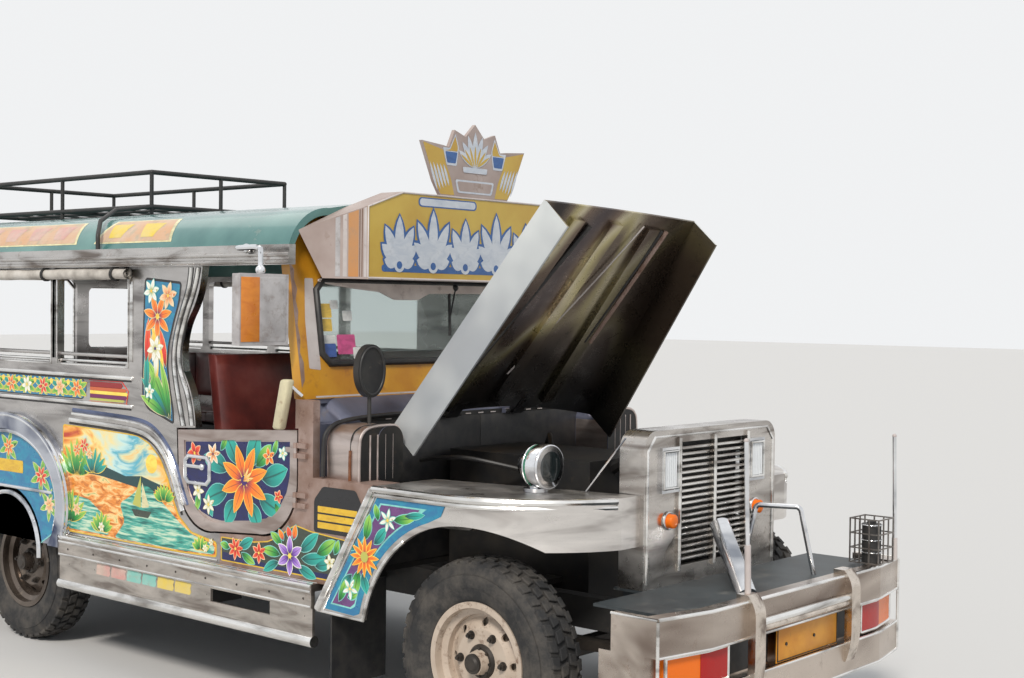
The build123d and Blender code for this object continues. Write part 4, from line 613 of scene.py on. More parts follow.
# Columns: name, colour at the root, in the middle and at the tip, depth of the middle line
for kind, name, root, body, tip, vein in (
    ("petal", "orange", (0.16, 0.004, 0.09), (0.9, 0.17, 0.006), (1.0, 0.3, 0.02), 0.5),
    ("petal", "red", (0.28, 0.004, 0.006), (0.75, 0.025, 0.012), (0.9, 0.12, 0.04), 0.5),
    ("petal", "purple", (0.05, 0.012, 0.14), (0.24, 0.1, 0.5), (0.5, 0.3, 0.75), 0.6),
    ("petal", "white", (0.5, 0.5, 0.1), (0.85, 0.85, 0.72), (0.95, 0.93, 0.85), 0.3),
    ("petal", "peach", (0.6, 0.12, 0.03), (0.9, 0.42, 0.18), (0.95, 0.7, 0.45), 0.3),
    ("leaf", "teal_leaf", (0.0, 0.045, 0.05), (0.004, 0.24, 0.21), (0.02, 0.42, 0.34), 0.7),
    ("leaf", "green_leaf", (0.004, 0.06, 0.012), (0.02, 0.3, 0.05), (0.3, 0.6, 0.08), 0.7),
):
    keep(petal_paint(f"{kind}_{name.split('_')[0]}", root, body, tip, vein), name)
# Columns: name in the box, name of the finish, colour, colour worked into it
for name, finish, *colours in (
    ("cream_line", "line_cream", (0.85, 0.78, 0.45)), ("aqua_line", "line_aqua", (0.25, 0.68, 0.62)),
    ("navy", "field_navy", (0.004, 0.008, 0.1), (0.002, 0.004, 0.05)),
    ("purple_field", "field_purple", (0.16, 0.055, 0.2), (0.08, 0.03, 0.13)),
    ("blue_field", "field_blue", (0.02, 0.17, 0.35), (0.01, 0.3, 0.42)),
    ("olive_field", "field_olive", (0.045, 0.06, 0.04), (0.02, 0.025, 0.022)),
    ("black", "line_black", (0.008, 0.008, 0.01)), ("yellow", "line_yellow", (0.78, 0.5, 0.03), (0.6, 0.33, 0.02)),
    ("sun", "dab_sun", (1.0, 0.75, 0.12), (0.95, 0.5, 0.04)),
):
    keep(paint(finish, *colours), name)


def both_sides(name, shape, finishes, smooth=35.0, body="body"):
    """Finishes a fitting on the right side and its mirror image on the left."""
    other = shape.copy()
    finished(f"{name}_right", shape, finishes, smooth, body)
    bmesh.ops.scale(other, verts=other.verts, vec=(1, -1, 1))
    bmesh.ops.reverse_faces(other, faces=other.faces)
    finished(f"{name}_left", other, finishes, smooth, body.replace("right", "left"))


def painted(name, art, body="body"):
    """Finishes a picture on the right side and its mirror image on the left."""
    both_sides(name, art, ENAMELS.values(), 0, body)


# Belt and window mouldings: bright half-round strips and lipped frames, pinned along the body sides.
# The belt holds two strips with the painted band between them; every window has its own rolled edge.
WINDOW_FRONT = -0.11
WINDOW_PITCH = 0.62
WINDOW_LONG = 0.56
WINDOW_COUNT = 4
WINDOW_LOW, WINDOW_TOP = 1.375, 1.79
WINDOW_LIP = 0.006
STRIP_ENDS, STRIP_R = (-2.585, -0.075), 0.0105
mouldings = bmesh.new()
for z in (1.322, 1.197):
    strip = [(end, -BODY_Y, z) for end in STRIP_ENDS]
    tube(mouldings, strip, STRIP_R, 0, False)
    for place in strip:
        ball(mouldings, place, STRIP_R, 12, 8)
for count in range(WINDOW_COUNT):
    front = WINDOW_FRONT - count * WINDOW_PITCH
    rear, low, top = front - WINDOW_LONG, WINDOW_LOW, WINDOW_TOP
    lip_rear, lip_front, lip_low, lip_top = rear - WINDOW_LIP, front + WINDOW_LIP, low - WINDOW_LIP, top + WINDOW_LIP
    frame_line = [(lip_front, lip_low), (lip_front, lip_top), (lip_rear, lip_top), (lip_rear, lip_low)]
    tube(mouldings, on_side(frame_line, BODY_Y - 0.001), 0.006, 0, False, True)
    for x in (front + 0.03, rear - 0.03):
        slab(mouldings, (x - 0.011, -0.9335, low + 0.02), (x + 0.011, -0.9295, top - 0.02), 0.0012)
    tube(mouldings, [(front + 0.004, -0.9125, low + 0.012), (rear - 0.004, -0.9125, low + 0.012)], 0.0075, 0, False)
# Moulding that sweeps from the belt over the rear arch's picture and down behind the door
SWEEP = [
    (-0.56, 1.112), (-0.28, 1.106), (-0.03, 1.098), (0.08, 1.07), (0.165, 1.01), (0.222, 0.93), (0.262, 0.84),
    (0.3, 0.77),
]
tube(mouldings, on_side(SWEEP, BODY_Y - 0.002), 0.013)
tube(mouldings, on_side([(x + 0.012, z + 0.028) for x, z in SWEEP], BODY_Y - 0.003), 0.008)
tube(mouldings, on_side([(-0.62, 0.578), (0.28, 0.588), (0.54, 0.588)], BODY_Y - 0.002), 0.006)
# Two mouldings beside the front post's picture, the outer one on the doorway's edge
POST_OUTER = [(0.36, 1.14), (0.345, 1.25), (0.272, 1.37), (0.262, 1.47), (0.312, 1.606), (0.378, 1.722), (0.398, 1.81)]
POST_INNER = [(0.3, 1.135), (0.262, 1.26), (0.232, 1.375), (0.232, 1.48), (0.282, 1.62), (0.342, 1.735), (0.348, 1.81)]
for line in (POST_OUTER, POST_INNER):
    tube(mouldings, on_side(line, BODY_Y - 0.001), 0.0095)
# Hollow of the sheet under the belt, above the sweep: a tube whose blue-black colour is a painted reflection
painted_reflection_blue = polished("painted_reflection_blue", (0.16, 0.19, 0.3), (0.03, 0.04, 0.08), (0.3, 0.28, 0.3), 0.16, 2.0, 0.3)
hollow = [(x + (0.018 if x < 0.1 else 0.034), z + (0.046 if x < 0.1 else 0.03)) for x, z in SWEEP]
tube(mouldings, on_side(hollow, BODY_Y - 0.0125), 0.0165, 1)
both_sides("body_mouldings", mouldings, [bright_trim, painted_reflection_blue])

shadow_lines = bmesh.new()
for line in (POST_OUTER, POST_INNER):
    for shift in (-0.0155, 0.0155):
        tube(shadow_lines, on_side([(x + shift, z) for x, z in line], BODY_Y - 0.0035), 0.0055)
tube(shadow_lines, on_side([(x - 0.004, z - 0.016) for x, z in SWEEP], BODY_Y - 0.003), 0.0075)
for z in (1.3075, 1.1825):
    tube(shadow_lines, [(-2.58, -BODY_Y, z), (-0.08, -BODY_Y, z)], 0.0035, 0, False)
both_sides("moulding_shadows", shadow_lines, [black_edge])

# Painted pictures on the body sides: front post, belt band, stripes and the landscape before the rear arch.
# All are brushed enamel on the bare sheet; the motifs are plain flowers, leaves and a river at sunset.
post_art = canvas()
out = BODY_Y + 0.0006
POST_FIELD = [
    (0.012, 1.69), (0.004, 1.5), (0.002, 1.34), (0.004, 1.235), (0.045, 1.19), (0.14, 1.165), (0.236, 1.135),
    (0.232, 1.2), (0.208, 1.29), (0.19, 1.39), (0.2, 1.48), (0.235, 1.58), (0.27, 1.66), (0.285, 1.75), (0.02, 1.77),
]
patch(post_art, POST_FIELD, out, "blue_field", 0.02, 0.011, "black")
post_foot = [(0.02, 1.36), (0.02, 1.245), (0.06, 1.2), (0.15, 1.178), (0.222, 1.152), (0.19, 1.3), (0.09, 1.35)]
patch(post_art, post_foot, out + 0.0004, "navy", 0.02)
# Columns: root x, root z, turn, length, width, colour
POST_STROKES = [
    (0.2, 1.16, 118, 0.3, 0.055, "green_leaf"), (0.19, 1.165, 135, 0.25, 0.05, "teal_leaf"),
    (0.21, 1.16, 102, 0.26, 0.04, "green_leaf"), (0.18, 1.17, 152, 0.2, 0.045, "green_leaf"),
    (0.03, 1.24, 84, 0.22, 0.04, "teal_leaf"), (0.05, 1.22, 68, 0.2, 0.035, "green_leaf"),
    (0.03, 1.4, 80, 0.19, 0.04, "red"), (0.05, 1.4, 66, 0.2, 0.04, "peach"), (0.175, 1.38, 100, 0.17, 0.036, "red"),
    (0.16, 1.38, 112, 0.2, 0.036, "sun"), (0.115, 1.33, 96, 0.2, 0.035, "sun"), (0.1, 1.33, 84, 0.16, 0.03, "white"),
]
leaves(post_art, out + 0.0008, POST_STROKES, "cream_line", 0.08)
flowers(post_art, out, [
    ((0.115, 1.6), 0.0014, 0.1, 7, "orange", "cream_line", "sun", 0.9),
    ((0.07, 1.71), 0.0018, 0.055, 6, "white", "aqua_line", "sun"),
    ((0.19, 1.69), 0.0018, 0.06, 6, "peach", "cream_line", "sun"),
    ((0.1, 1.46), 0.0018, 0.058, 6, "white", "cream_line", "purple"),
    ((0.06, 1.27), 0.0018, 0.035, 5, "white", "aqua_line", "sun"),
])
painted("post_picture", post_art)

LEAF_FAN = ((20, 0.085), (160, 0.085), (-22, 0.08), (202, 0.08), (48, 0.055), (132, 0.055), (-50, 0.05), (230, 0.05))
belt_art = canvas()
BAND_REAR, BAND_FRONT, BAND_LOW, BAND_HIGH = -2.56, -0.43, 1.211, 1.308
band = [(BAND_REAR, BAND_LOW), (BAND_FRONT - 0.03, BAND_LOW), (BAND_FRONT, BAND_LOW + 0.03)]
band += [(BAND_FRONT, BAND_HIGH - 0.03), (BAND_FRONT - 0.03, BAND_HIGH), (BAND_REAR, BAND_HIGH)]
patch(belt_art, band, out, "blue_field", 0.012, 0.005, "black")
BAND_FLOWERS = ["orange", "peach", "red", "white"]
for count in range(15):
    x = BAND_FRONT - 0.075 - count * 0.142
    tone = BAND_FLOWERS[count % 4]
    for turn, reach in LEAF_FAN:
        leaf = "green_leaf" if abs(turn) % 40 else "teal_leaf"
        stroke(belt_art, (x, 1.259), turn, reach, 0.024, out + 0.0004, leaf, "sun")
    flower(belt_art, (x, 1.26), out + 0.0012, 0.042, 6, tone, "cream_line", "sun")
    disc(belt_art, (x - 0.071, 1.286), 0.013, out + 0.0014, "sun")
    disc(belt_art, (x - 0.071, 1.236), 0.011, out + 0.0014, "white")
# Columns: bottom, top, front end, colour
STRIPES = [
    (1.272, 1.297, -0.155, "red"), (1.256, 1.273, -0.125, "peach"), (1.24, 1.257, -0.115, "sun"),
    (1.222, 1.241, -0.122, "orange"), (1.211, 1.223, -0.14, "white"),
]
for low, high, front, tone in STRIPES:
    patch(
        belt_art, [(-0.4, low), (front, low), (front + 0.012, (low + high) / 2), (front, high), (-0.4, high)], out, tone
    )
edge = [(-0.405, 1.303), (-0.15, 1.303), (-0.1, 1.262), (-0.115, 1.206), (-0.405, 1.206)]
tube(belt_art, on_side(edge, out), 0.0022, "red", False)
painted("belt_band", belt_art)

# Landscape before the rear arch: an invented river between banks under an evening sky.
# The colours run from hot orange by the door to blue over the hills; a small boat lies on the water.


def fields(art, out, rows):
    """Painted fields one over the other; each row is corners, lift over out and the rest of what a patch takes."""
    for corners, lift, *rest in rows:
        patch(art, corners, out + lift, *rest)


mural_sky = surface("mural_sky", (0.9, 0.45, 0.08), 0.3, coat=0.35)
haze = clouds(mural_sky, 3.2, stretch=(1.0, 1, 2.6), detail=5.0, twist=1.2)
length = add(mural_sky, "SeparateXYZ", Vector=at_point(mural_sky)).outputs[0]
drift = maths(mural_sky, "MULTIPLY_ADD", haze, 0.9, between(mural_sky, length, -0.6, 0.25, -0.3, 0.28))
sky_tone = shades(
    mural_sky, drift, (0.1, (0.5, 0.03, 0.01)), (0.2, (0.85, 0.3, 0.03)), (0.3, (0.95, 0.72, 0.25)),
    (0.42, (0.55, 0.78, 0.75)), (0.5, (0.08, 0.42, 0.55)), (0.6, (0.75, 0.75, 0.45)), (0.7, (0.98, 0.45, 0.03)),
    (0.9, (0.75, 0.16, 0.01))
)
feed(mural_sky, "Base Color", sky_tone)
dents(mural_sky, haze, 0.0004, 0.3)
mural_water = surface("mural_water", (0.1, 0.42, 0.35), 0.3, coat=0.35)
ripple = clouds(mural_water, 9.0, stretch=(1, 1, 9), detail=4.0)
water_tone = shades(
    mural_water, ripple, (0.34, (0.01, 0.14, 0.12)), (0.48, (0.06, 0.42, 0.33)), (0.62, (0.6, 0.75, 0.55))
)
feed(mural_water, "Base Color", water_tone)
mural_bank = surface("mural_bank", (0.8, 0.3, 0.06), 0.3, coat=0.35)
soil = clouds(mural_bank, 12.0, stretch=(1, 1, 3), detail=6.0, twist=1.0)
bank_tone = shades(
    mural_bank, soil, (0.3, (0.25, 0.05, 0.01)), (0.48, (0.85, 0.28, 0.03)), (0.62, (0.95, 0.7, 0.3)),
    (0.75, (0.1, 0.3, 0.08))
)
feed(mural_bank, "Base Color", bank_tone)
for made in (mural_sky, mural_water, mural_bank):
    keep(made)

mural = canvas()
MURAL_EDGE = [
    (-0.62, 0.59), (-0.62, 1.088), (-0.28, 1.082), (-0.03, 1.074), (0.06, 1.045), (0.14, 0.985), (0.195, 0.905),
    (0.235, 0.82), (0.275, 0.75), (0.36, 0.69), (0.535, 0.665), (0.535, 0.6), (0.28, 0.592),
]
patch(mural, MURAL_EDGE, out, "mural_sky", 0.014, 0.006, "yellow")
fields(mural, out, [
    ([
        (-0.61, 0.93), (-0.45, 0.965), (-0.3, 0.92), (-0.12, 0.885), (0.0, 0.895), (0.13, 0.87), (0.2, 0.865),
        (0.21, 0.83), (-0.61, 0.82),
    ], 0.0003, "teal_leaf", 0.006),
    ([
        (-0.61, 0.6), (-0.61, 0.88), (-0.3, 0.87), (-0.06, 0.845), (0.215, 0.83), (0.265, 0.745), (0.36, 0.682),
        (0.525, 0.655), (0.525, 0.606), (0.28, 0.598),
    ], 0.0006, "mural_bank", 0.012),
    ([
        (0.0, 0.86), (0.07, 0.85), (0.18, 0.78), (0.28, 0.72), (0.36, 0.68), (0.52, 0.652), (0.52, 0.61), (0.28, 0.602),
        (-0.2, 0.602), (-0.12, 0.68), (-0.16, 0.76), (-0.06, 0.81),
    ], 0.0009, "mural_water", 0.02),
    ([
        (-0.6, 0.72), (-0.52, 0.765), (-0.4, 0.755), (-0.26, 0.68), (-0.24, 0.606), (-0.6, 0.606),
    ], 0.001, "mural_water", 0.02),
])
disc(mural, (0.075, 0.955), 0.042, out + 0.0003, "sun", 28)
# Boat: hull and two sails
fields(mural, out, [
    ([(-0.07, 0.745), (0.08, 0.745), (0.055, 0.715), (-0.045, 0.715)], 0.0014, "olive_field", 0.006),
    ([(0.0, 0.755), (0.0, 0.9), (-0.062, 0.765)], 0.0014, "white", 0.006),
    ([(0.008, 0.755), (0.008, 0.87), (0.062, 0.765)], 0.0014, "cream_line", 0.006),
])
# Columns: root x, root z, height, spread, leaves, colour
MURAL_BUSHES = [
    (-0.5, 0.86, 0.17, 0.13, 9, "green_leaf"), (-0.37, 0.88, 0.12, 0.1, 8, "teal_leaf"),
    (0.17, 0.8, 0.075, 0.09, 9, "green_leaf"), (-0.56, 0.64, 0.16, 0.1, 8, "green_leaf"),
    (0.43, 0.62, 0.06, 0.06, 6, "green_leaf"), (-0.3, 0.62, 0.09, 0.09, 7, "green_leaf"),
]
for x, z, high, spread, blades, tone in MURAL_BUSHES:
    for count in range(blades):
        share = count / (blades - 1) - 0.5
        turn = 90 + share * 130
        root = (x + 0.2 * spread * cos(radians(turn)), z)
        lift = out + 0.0016 + 0.0002 * (count % 3)
        stroke(mural, root, turn, high * (1 - 0.35 * abs(share)), spread / blades * 2.0, lift, tone, "sun")
# Columns: middle x, middle z, radius, colour
BLOSSOMS = [
    (-0.44, 1.0, 0.035, "red"), (-0.5, 0.975, 0.03, "orange"), (-0.4, 0.965, 0.028, "peach"),
    (-0.5, 0.7, 0.03, "peach"), (-0.3, 0.64, 0.022, "white"), (0.46, 0.63, 0.016, "white"), (0.5, 0.66, 0.014, "white"),
]
for x, z, size, tone in BLOSSOMS:
    flower(mural, (x, z), out + 0.0024, size, 6, tone, "cream_line", "sun")
painted("river_picture", mural)

# Half doors: a stainless frame round a sunk, painted field, with a chrome latch cup and iron hinges.
# Sheet steel; the frame has gone pinkish and dull, and the latch bar lies across its cup.
old_silver = polished("old_silver", (0.52, 0.45, 0.42), (0.36, 0.29, 0.26), (0.24, 0.12, 0.07), 0.42, 3.0, 0.5)
pink_iron = worn("pink_iron", (0.42, 0.31, 0.27), (0.27, 0.17, 0.13), (0.12, 0.05, 0.03), 0.5, 0.55, size=9.0, dirt=0.6)
coat_nodes(old_silver, "door_right", "door_left")
coat_nodes(pink_iron, "cowl_sides")

door_metal = bmesh.new()
LATCH_X, LATCH_Z = 0.398, 0.955
bezel = [
    (-0.062, -0.056), (0.062, -0.056), (0.083, -0.036), (0.083, 0.036), (0.062, 0.056), (-0.062, 0.056),
    (-0.083, 0.036), (-0.083, -0.036),
]
tube(door_metal, on_side([(LATCH_X + x, LATCH_Z + z) for x, z in bezel], 0.926), 0.011, 0, False, True, 3)
slab(door_metal, (LATCH_X - 0.092, -0.934, LATCH_Z + 0.006), (LATCH_X + 0.028, -0.922, LATCH_Z + 0.022), 0.004)
ball(door_metal, (LATCH_X + 0.03, -0.925, LATCH_Z + 0.014), 0.016, 14, 10)
both_sides("door_latch", door_metal, [chrome], body="door_right")
latch_dark = bmesh.new()
slab(latch_dark, (LATCH_X - 0.074, -0.912, LATCH_Z - 0.048), (LATCH_X + 0.074, -0.9085, LATCH_Z + 0.048), 0.0012)
both_sides("latch_cups", latch_dark, [black_edge], body="door_right")

door_art = canvas()
out = 0.9245
FIELD = [
    (0.988, 1.114), (0.31, 1.069), (0.32, 0.944), (0.332, 0.88), (0.362, 0.827), (0.42, 0.782), (0.495, 0.76),
    (0.56, 0.756), (0.75, 0.776), (0.845, 0.795), (0.925, 0.848), (0.968, 0.912), (0.988, 0.985),
]
patch(door_art, FIELD, out, "navy")
# Columns: root x, root z, turn, length, width, colour
DOOR_LEAVES = [
    (0.73, 0.99, 62, 0.16, 0.085, "teal_leaf"), (0.66, 1.0, 118, 0.13, 0.075, "teal_leaf"),
    (0.6, 0.97, 158, 0.17, 0.085, "teal_leaf"), (0.6, 0.89, 196, 0.17, 0.085, "teal_leaf"),
    (0.65, 0.85, 232, 0.12, 0.075, "teal_leaf"), (0.75, 0.85, 292, 0.11, 0.075, "teal_leaf"),
    (0.8, 0.88, 334, 0.155, 0.085, "teal_leaf"), (0.82, 0.95, 14, 0.16, 0.085, "teal_leaf"),
    (0.78, 1.0, 40, 0.13, 0.06, "green_leaf"), (0.39, 1.045, 200, 0.07, 0.03, "green_leaf"),
    (0.41, 0.86, 250, 0.08, 0.035, "green_leaf"), (0.46, 0.84, 292, 0.08, 0.035, "teal_leaf"),
    (0.88, 1.05, 60, 0.075, 0.026, "green_leaf"), (0.9, 0.86, 300, 0.06, 0.028, "green_leaf"),
    (0.55, 1.05, 50, 0.075, 0.03, "green_leaf"),
]
leaves(door_art, out + 0.0004, DOOR_LEAVES, "aqua_line", 0.1)
flower(door_art, (0.705, 0.935), out + 0.0011, 0.15, 8, "orange", "sun", "purple", 1.02, 20.0, 0.62)
for turn in (15, 38, 62):
    stroke(door_art, (0.705, 0.935), turn, 0.06, 0.006, out + 0.0026, "peach", "sun")
flowers(door_art, out, [
    ((0.375, 1.025), 0.0012, 0.048, 5, "red", "peach", "sun", 0.95, 40.0),
    ((0.5, 1.03), 0.0012, 0.046, 6, "peach", "white", "orange", 0.8, 10.0),
    ((0.86, 1.045), 0.0012, 0.036, 5, "orange", "cream_line", "sun", 0.9, 30.0),
    ((0.945, 1.065), 0.0012, 0.028, 5, "white", "aqua_line", "sun", 0.9, 0.0),
    ((0.4, 0.868), 0.0012, 0.038, 5, "white", "cream_line", "sun", 0.7, 70.0),
    ((0.472, 0.815), 0.0014, 0.04, 6, "white", "cream_line", "sun", 0.7, 30.0),
    ((0.92, 0.89), 0.0012, 0.026, 5, "red", "peach", "sun", 0.9, 0.0),
])
painted("door_picture", door_art, "door_right")

# Quarters ahead of the doors: olive enamel with flowers and a gold pinstripe, over the bare iron pillar.
# A black plate with a round top and blank yellow rows is screwed on in front of each door.


def oblong(left, right, low, high):
    """The four corners of an upright field."""
    return [(left, low), (right, low), (right, high), (left, high)]


quarter_art = canvas()
out = BODY_Y + 0.0006
QUARTER = [
    (0.563, 0.592), (1.225, 0.592), (1.335, 0.76), (1.12, 0.775), (1.03, 0.79), (0.985, 0.768), (0.935, 0.735),
    (0.86, 0.706), (0.77, 0.694), (0.563, 0.692),
]
patch(quarter_art, QUARTER, out, "olive_field", 0.008, 0.005, "yellow")
footing = [(0.575, 0.598), (1.21, 0.598), (1.225, 0.618), (0.9, 0.612), (0.575, 0.63)]
patch(quarter_art, footing, out + 0.0003, "navy", 0.006)
# Columns: root x, root z, turn, length, width, colour
QUARTER_LEAVES = [
    (1.06, 0.69, 30, 0.13, 0.05, "teal_leaf"), (1.07, 0.66, 2, 0.14, 0.045, "teal_leaf"),
    (1.05, 0.63, 334, 0.11, 0.04, "teal_leaf"), (1.16, 0.69, 24, 0.12, 0.05, "green_leaf"),
    (1.15, 0.64, 8, 0.1, 0.04, "teal_leaf"), (0.94, 0.66, 168, 0.11, 0.04, "green_leaf"),
    (0.93, 0.63, 200, 0.1, 0.035, "teal_leaf"), (0.95, 0.7, 140, 0.08, 0.035, "green_leaf"),
    (0.68, 0.66, 20, 0.1, 0.04, "teal_leaf"), (0.62, 0.65, 160, 0.06, 0.03, "green_leaf"),
    (0.7, 0.64, 330, 0.09, 0.035, "green_leaf"), (1.0, 0.73, 100, 0.05, 0.03, "red"),
    (1.02, 0.73, 70, 0.06, 0.03, "orange"), (0.96, 0.72, 118, 0.05, 0.026, "orange"),
    (1.26, 0.7, 60, 0.06, 0.03, "green_leaf"),
]
leaves(quarter_art, out + 0.0007, QUARTER_LEAVES, "aqua_line", 0.12)
flowers(quarter_art, out, [
    ((1.0, 0.663), 0.0014, 0.078, 6, "purple", "white", "sun", 0.95, 30.0),
    ((0.66, 0.652), 0.0014, 0.046, 7, "red", "peach", "sun", 0.9, 8.0),
    ((0.81, 0.652), 0.0014, 0.042, 6, "red", "peach", "sun", 0.9, 30.0),
    ((1.235, 0.665), 0.0014, 0.03, 5, "white", "cream_line", "sun", 0.8, 30.0),
])
plate = [(1.14, 0.775), (1.41, 0.775), (1.41, 0.9), (1.375, 0.955), (1.19, 0.955), (1.14, 0.9)]
patch(quarter_art, plate, out + 0.0006, "black", 0.012, 0.007, "yellow")
for low in (0.792, 0.823, 0.854):
    patch(quarter_art, oblong(1.162, 1.385, low, low + 0.024), out + 0.001, "yellow", 0.002)
painted("quarter_picture", quarter_art)

# Fender flanks: a purple field in a blue border, with a row of flowers, bounded by bright mouldings.
# A bright bead runs round the wheel opening and two half-rounds run along the fender's outer top edge.
FENDER_Y = 0.95
WHEEL_ARCH, ARCH_R = (WHEEL_X["front"], HUB_Z), 0.5
flank_art = canvas()
out = FENDER_Y + 0.0006
curve = arc(WHEEL_ARCH, ARCH_R + 0.022, range(167, 104, -4))
edge = [(1.226, 0.49), (1.39, 0.484)] + curve + [(1.84, 0.905), (1.86, 0.947), (1.513, 0.947)]
patch(flank_art, edge, out, "blue_field", 0.004)
inner_curve = arc(WHEEL_ARCH, ARCH_R + 0.05, range(165, 110, -5))
inner = [(1.262, 0.512), (1.375, 0.508)] + inner_curve + [(1.77, 0.925), (1.53, 0.925)]
patch(flank_art, inner, out + 0.0004, "aqua_line")
purple_edge = [(1.272, 0.518), (1.372, 0.514)] + arc(WHEEL_ARCH, ARCH_R + 0.056, range(164, 111, -5))
patch(flank_art, purple_edge + [(1.735, 0.919), (1.536, 0.919)], out + 0.0007, "purple_field")
# Columns: root x, root z, turn, length, width, colour
FLANK_LEAVES = [
    (1.45, 0.78, 70, 0.1, 0.042, "green_leaf"), (1.5, 0.77, 40, 0.09, 0.04, "teal_leaf"),
    (1.42, 0.66, 250, 0.1, 0.045, "green_leaf"), (1.38, 0.64, 225, 0.1, 0.04, "teal_leaf"),
    (1.44, 0.65, 285, 0.08, 0.04, "teal_leaf"), (1.31, 0.53, 60, 0.1, 0.035, "green_leaf"),
    (1.36, 0.55, 20, 0.06, 0.03, "green_leaf"), (1.6, 0.87, 4, 0.12, 0.035, "green_leaf"),
    (1.66, 0.89, 2, 0.1, 0.025, "teal_leaf"), (1.52, 0.86, 100, 0.06, 0.03, "green_leaf"),
    (1.4, 0.74, 160, 0.05, 0.03, "teal_leaf"),
]
leaves(flank_art, out + 0.0012, FLANK_LEAVES, "aqua_line", 0.1)
flower(flank_art, (1.45, 0.715), out + 0.0019, 0.075, 12, "orange", "sun", "sun", 1.0, 0.0, 0.8)
disc(flank_art, (1.45, 0.715), 0.02, out + 0.0034, "white")
flowers(flank_art, out, [
    ((1.572, 0.865), 0.0019, 0.044, 6, "white", "aqua_line", "sun", 0.65, 20.0),
    ((1.372, 0.585), 0.0019, 0.042, 5, "white", "aqua_line", "sun", 0.65, 60.0),
])
painted("flank_picture", flank_art)

fender_trim = bmesh.new()
tube(fender_trim, on_side([(1.488, 0.968), (1.19, 0.484)], FENDER_Y), 0.017, 0, False)
tube(fender_trim, on_side([(1.505, 0.955), (1.21, 0.476)], FENDER_Y), 0.007, 0, False)
lip = arc(WHEEL_ARCH, ARCH_R, range(169, 122, -3))
tube(fender_trim, on_side([(1.21, 0.478)] + lip[:1] + lip, FENDER_Y - 0.002), 0.008, 0, False)
FENDER_RIM = [
    (1.488, -0.95), (1.83, -0.95), (1.93, -0.942), (2.03, -0.912), (2.13, -0.85), (2.21, -0.775), (2.29, -0.675),
    (2.345, -0.575),
]
for z, radius in ((0.974, 0.0135), (0.952, 0.0095)):
    tube(fender_trim, [(x, y, z) for x, y in FENDER_RIM], radius)
both_sides("fender_mouldings", fender_trim, [bright_trim])

# Rear wheel arches: chromed and bulged, with a sunk painted field and a bright ring at the opening.
# The field has a blank yellow patch, flowers on both sides and a bright strip through its middle.
arch_chrome = polished(
    "arch_chrome", (0.6, 0.63, 0.7), (0.05, 0.07, 0.15), (0.3, 0.17, 0.1), 0.09, 2.6, 0.3, (1, 1, 1.5), 0.002
)
coat_nodes(arch_chrome, "rear_arches")
arch_art = canvas()
out = BODY_Y + 0.0146
REAR_ARCH, REAR_HOLE = (WHEEL_X["rear"], 0.7), (WHEEL_X["rear"], 0.46)
field = arc(REAR_ARCH, 0.44, range(-22, 203, 9), 0.33)
hole = arc(REAR_HOLE, 0.295, range(170, 9, -10))
patch(arch_art, field + hole, out, "blue_field", 0.004, 0.006, "aqua_line")
# Columns: middle x, middle z, radius, colour
ARCH_FLOWERS = [
    (-0.78, 0.83, 0.05, "red"), (-0.71, 0.7, 0.042, "peach"), (-1.36, 0.83, 0.05, "red"), (-1.43, 0.7, 0.042, "peach"),
    (-1.07, 0.95, 0.045, "orange"),
]
for x, z, size, tone in ARCH_FLOWERS:
    for turn in (20, 75, 140, 200, 265, 320):
        stroke(arch_art, (x, z), turn, size * 1.9, size * 0.6, out + 0.0004, "green_leaf", "cream_line")
    flower(arch_art, (x, z), out + 0.001, size, 7, tone, "cream_line", "sun")
patch(arch_art, oblong(-1.2, -0.94, 0.83, 0.89), out + 0.001, "yellow", 0.008)
painted("arch_picture", arch_art)
arch_trim = bmesh.new()
ring = arc(REAR_HOLE, 0.272, range(-4, 185, 9))
tube(arch_trim, on_side(ring, BODY_Y + 0.014), 0.013)
tube(arch_trim, on_side([(-1.46, 0.76), (-0.68, 0.76)], BODY_Y + 0.015), 0.009, 0, False)
for reach, radius, lift in ((0.0, 0.018, 0.036), (-0.076, 0.013, 0.034)):
    rim = arc(REAR_ARCH, 0.518 + reach, range(-20, 201, 10), 0.408 + reach)
    tube(arch_trim, on_side(rim, BODY_Y + lift - 0.012), radius)
both_sides("arch_mouldings", arch_trim, [chrome])

# Running boards: ribbed stainless treads on a pale apron with old paint, and the chrome tube below.
# Rust comes through at the screw heads and under the lip.
board_apron = polished("board_apron", (0.5, 0.46, 0.42), (0.27, 0.235, 0.21), (0.22, 0.12, 0.07), 0.42, 4.0, 0.55)
coat_nodes(board_apron, "running_boards")
board_trim = bmesh.new()
for y in (0.948, 0.925, 0.902, 0.879, 0.856):
    tube(board_trim, [(-0.595, -y, 0.5725), (1.16, -y, 0.5725)], 0.0065, 0, False)
for y, z, radius in ((0.9605, 0.5665, 0.0095), (0.9625, 0.545, 0.007), (0.9625, 0.487, 0.0055)):
    tube(board_trim, [(-0.597, -y, z), (1.162, -y, z)], radius, 0, False)
tube(board_trim, [(-0.603, -0.949, 0.349), (1.168, -0.949, 0.349)], 0.0235, 0, False, False, 5)
both_sides("board_treads", board_trim, [bright_trim])
screws = bmesh.new()
for count in range(9):
    for y, z in ((0.9665, 0.515), (0.9555, 0.445)):
        x = -0.52 + 0.205 * count
        if not 0.52 < x < 0.92 or z > 0.5:
            ball(screws, (x, -y + 0.003, z), 0.0055, 8, 6)
both_sides("board_screws", screws, [greasy_iron])
apron_art = canvas()
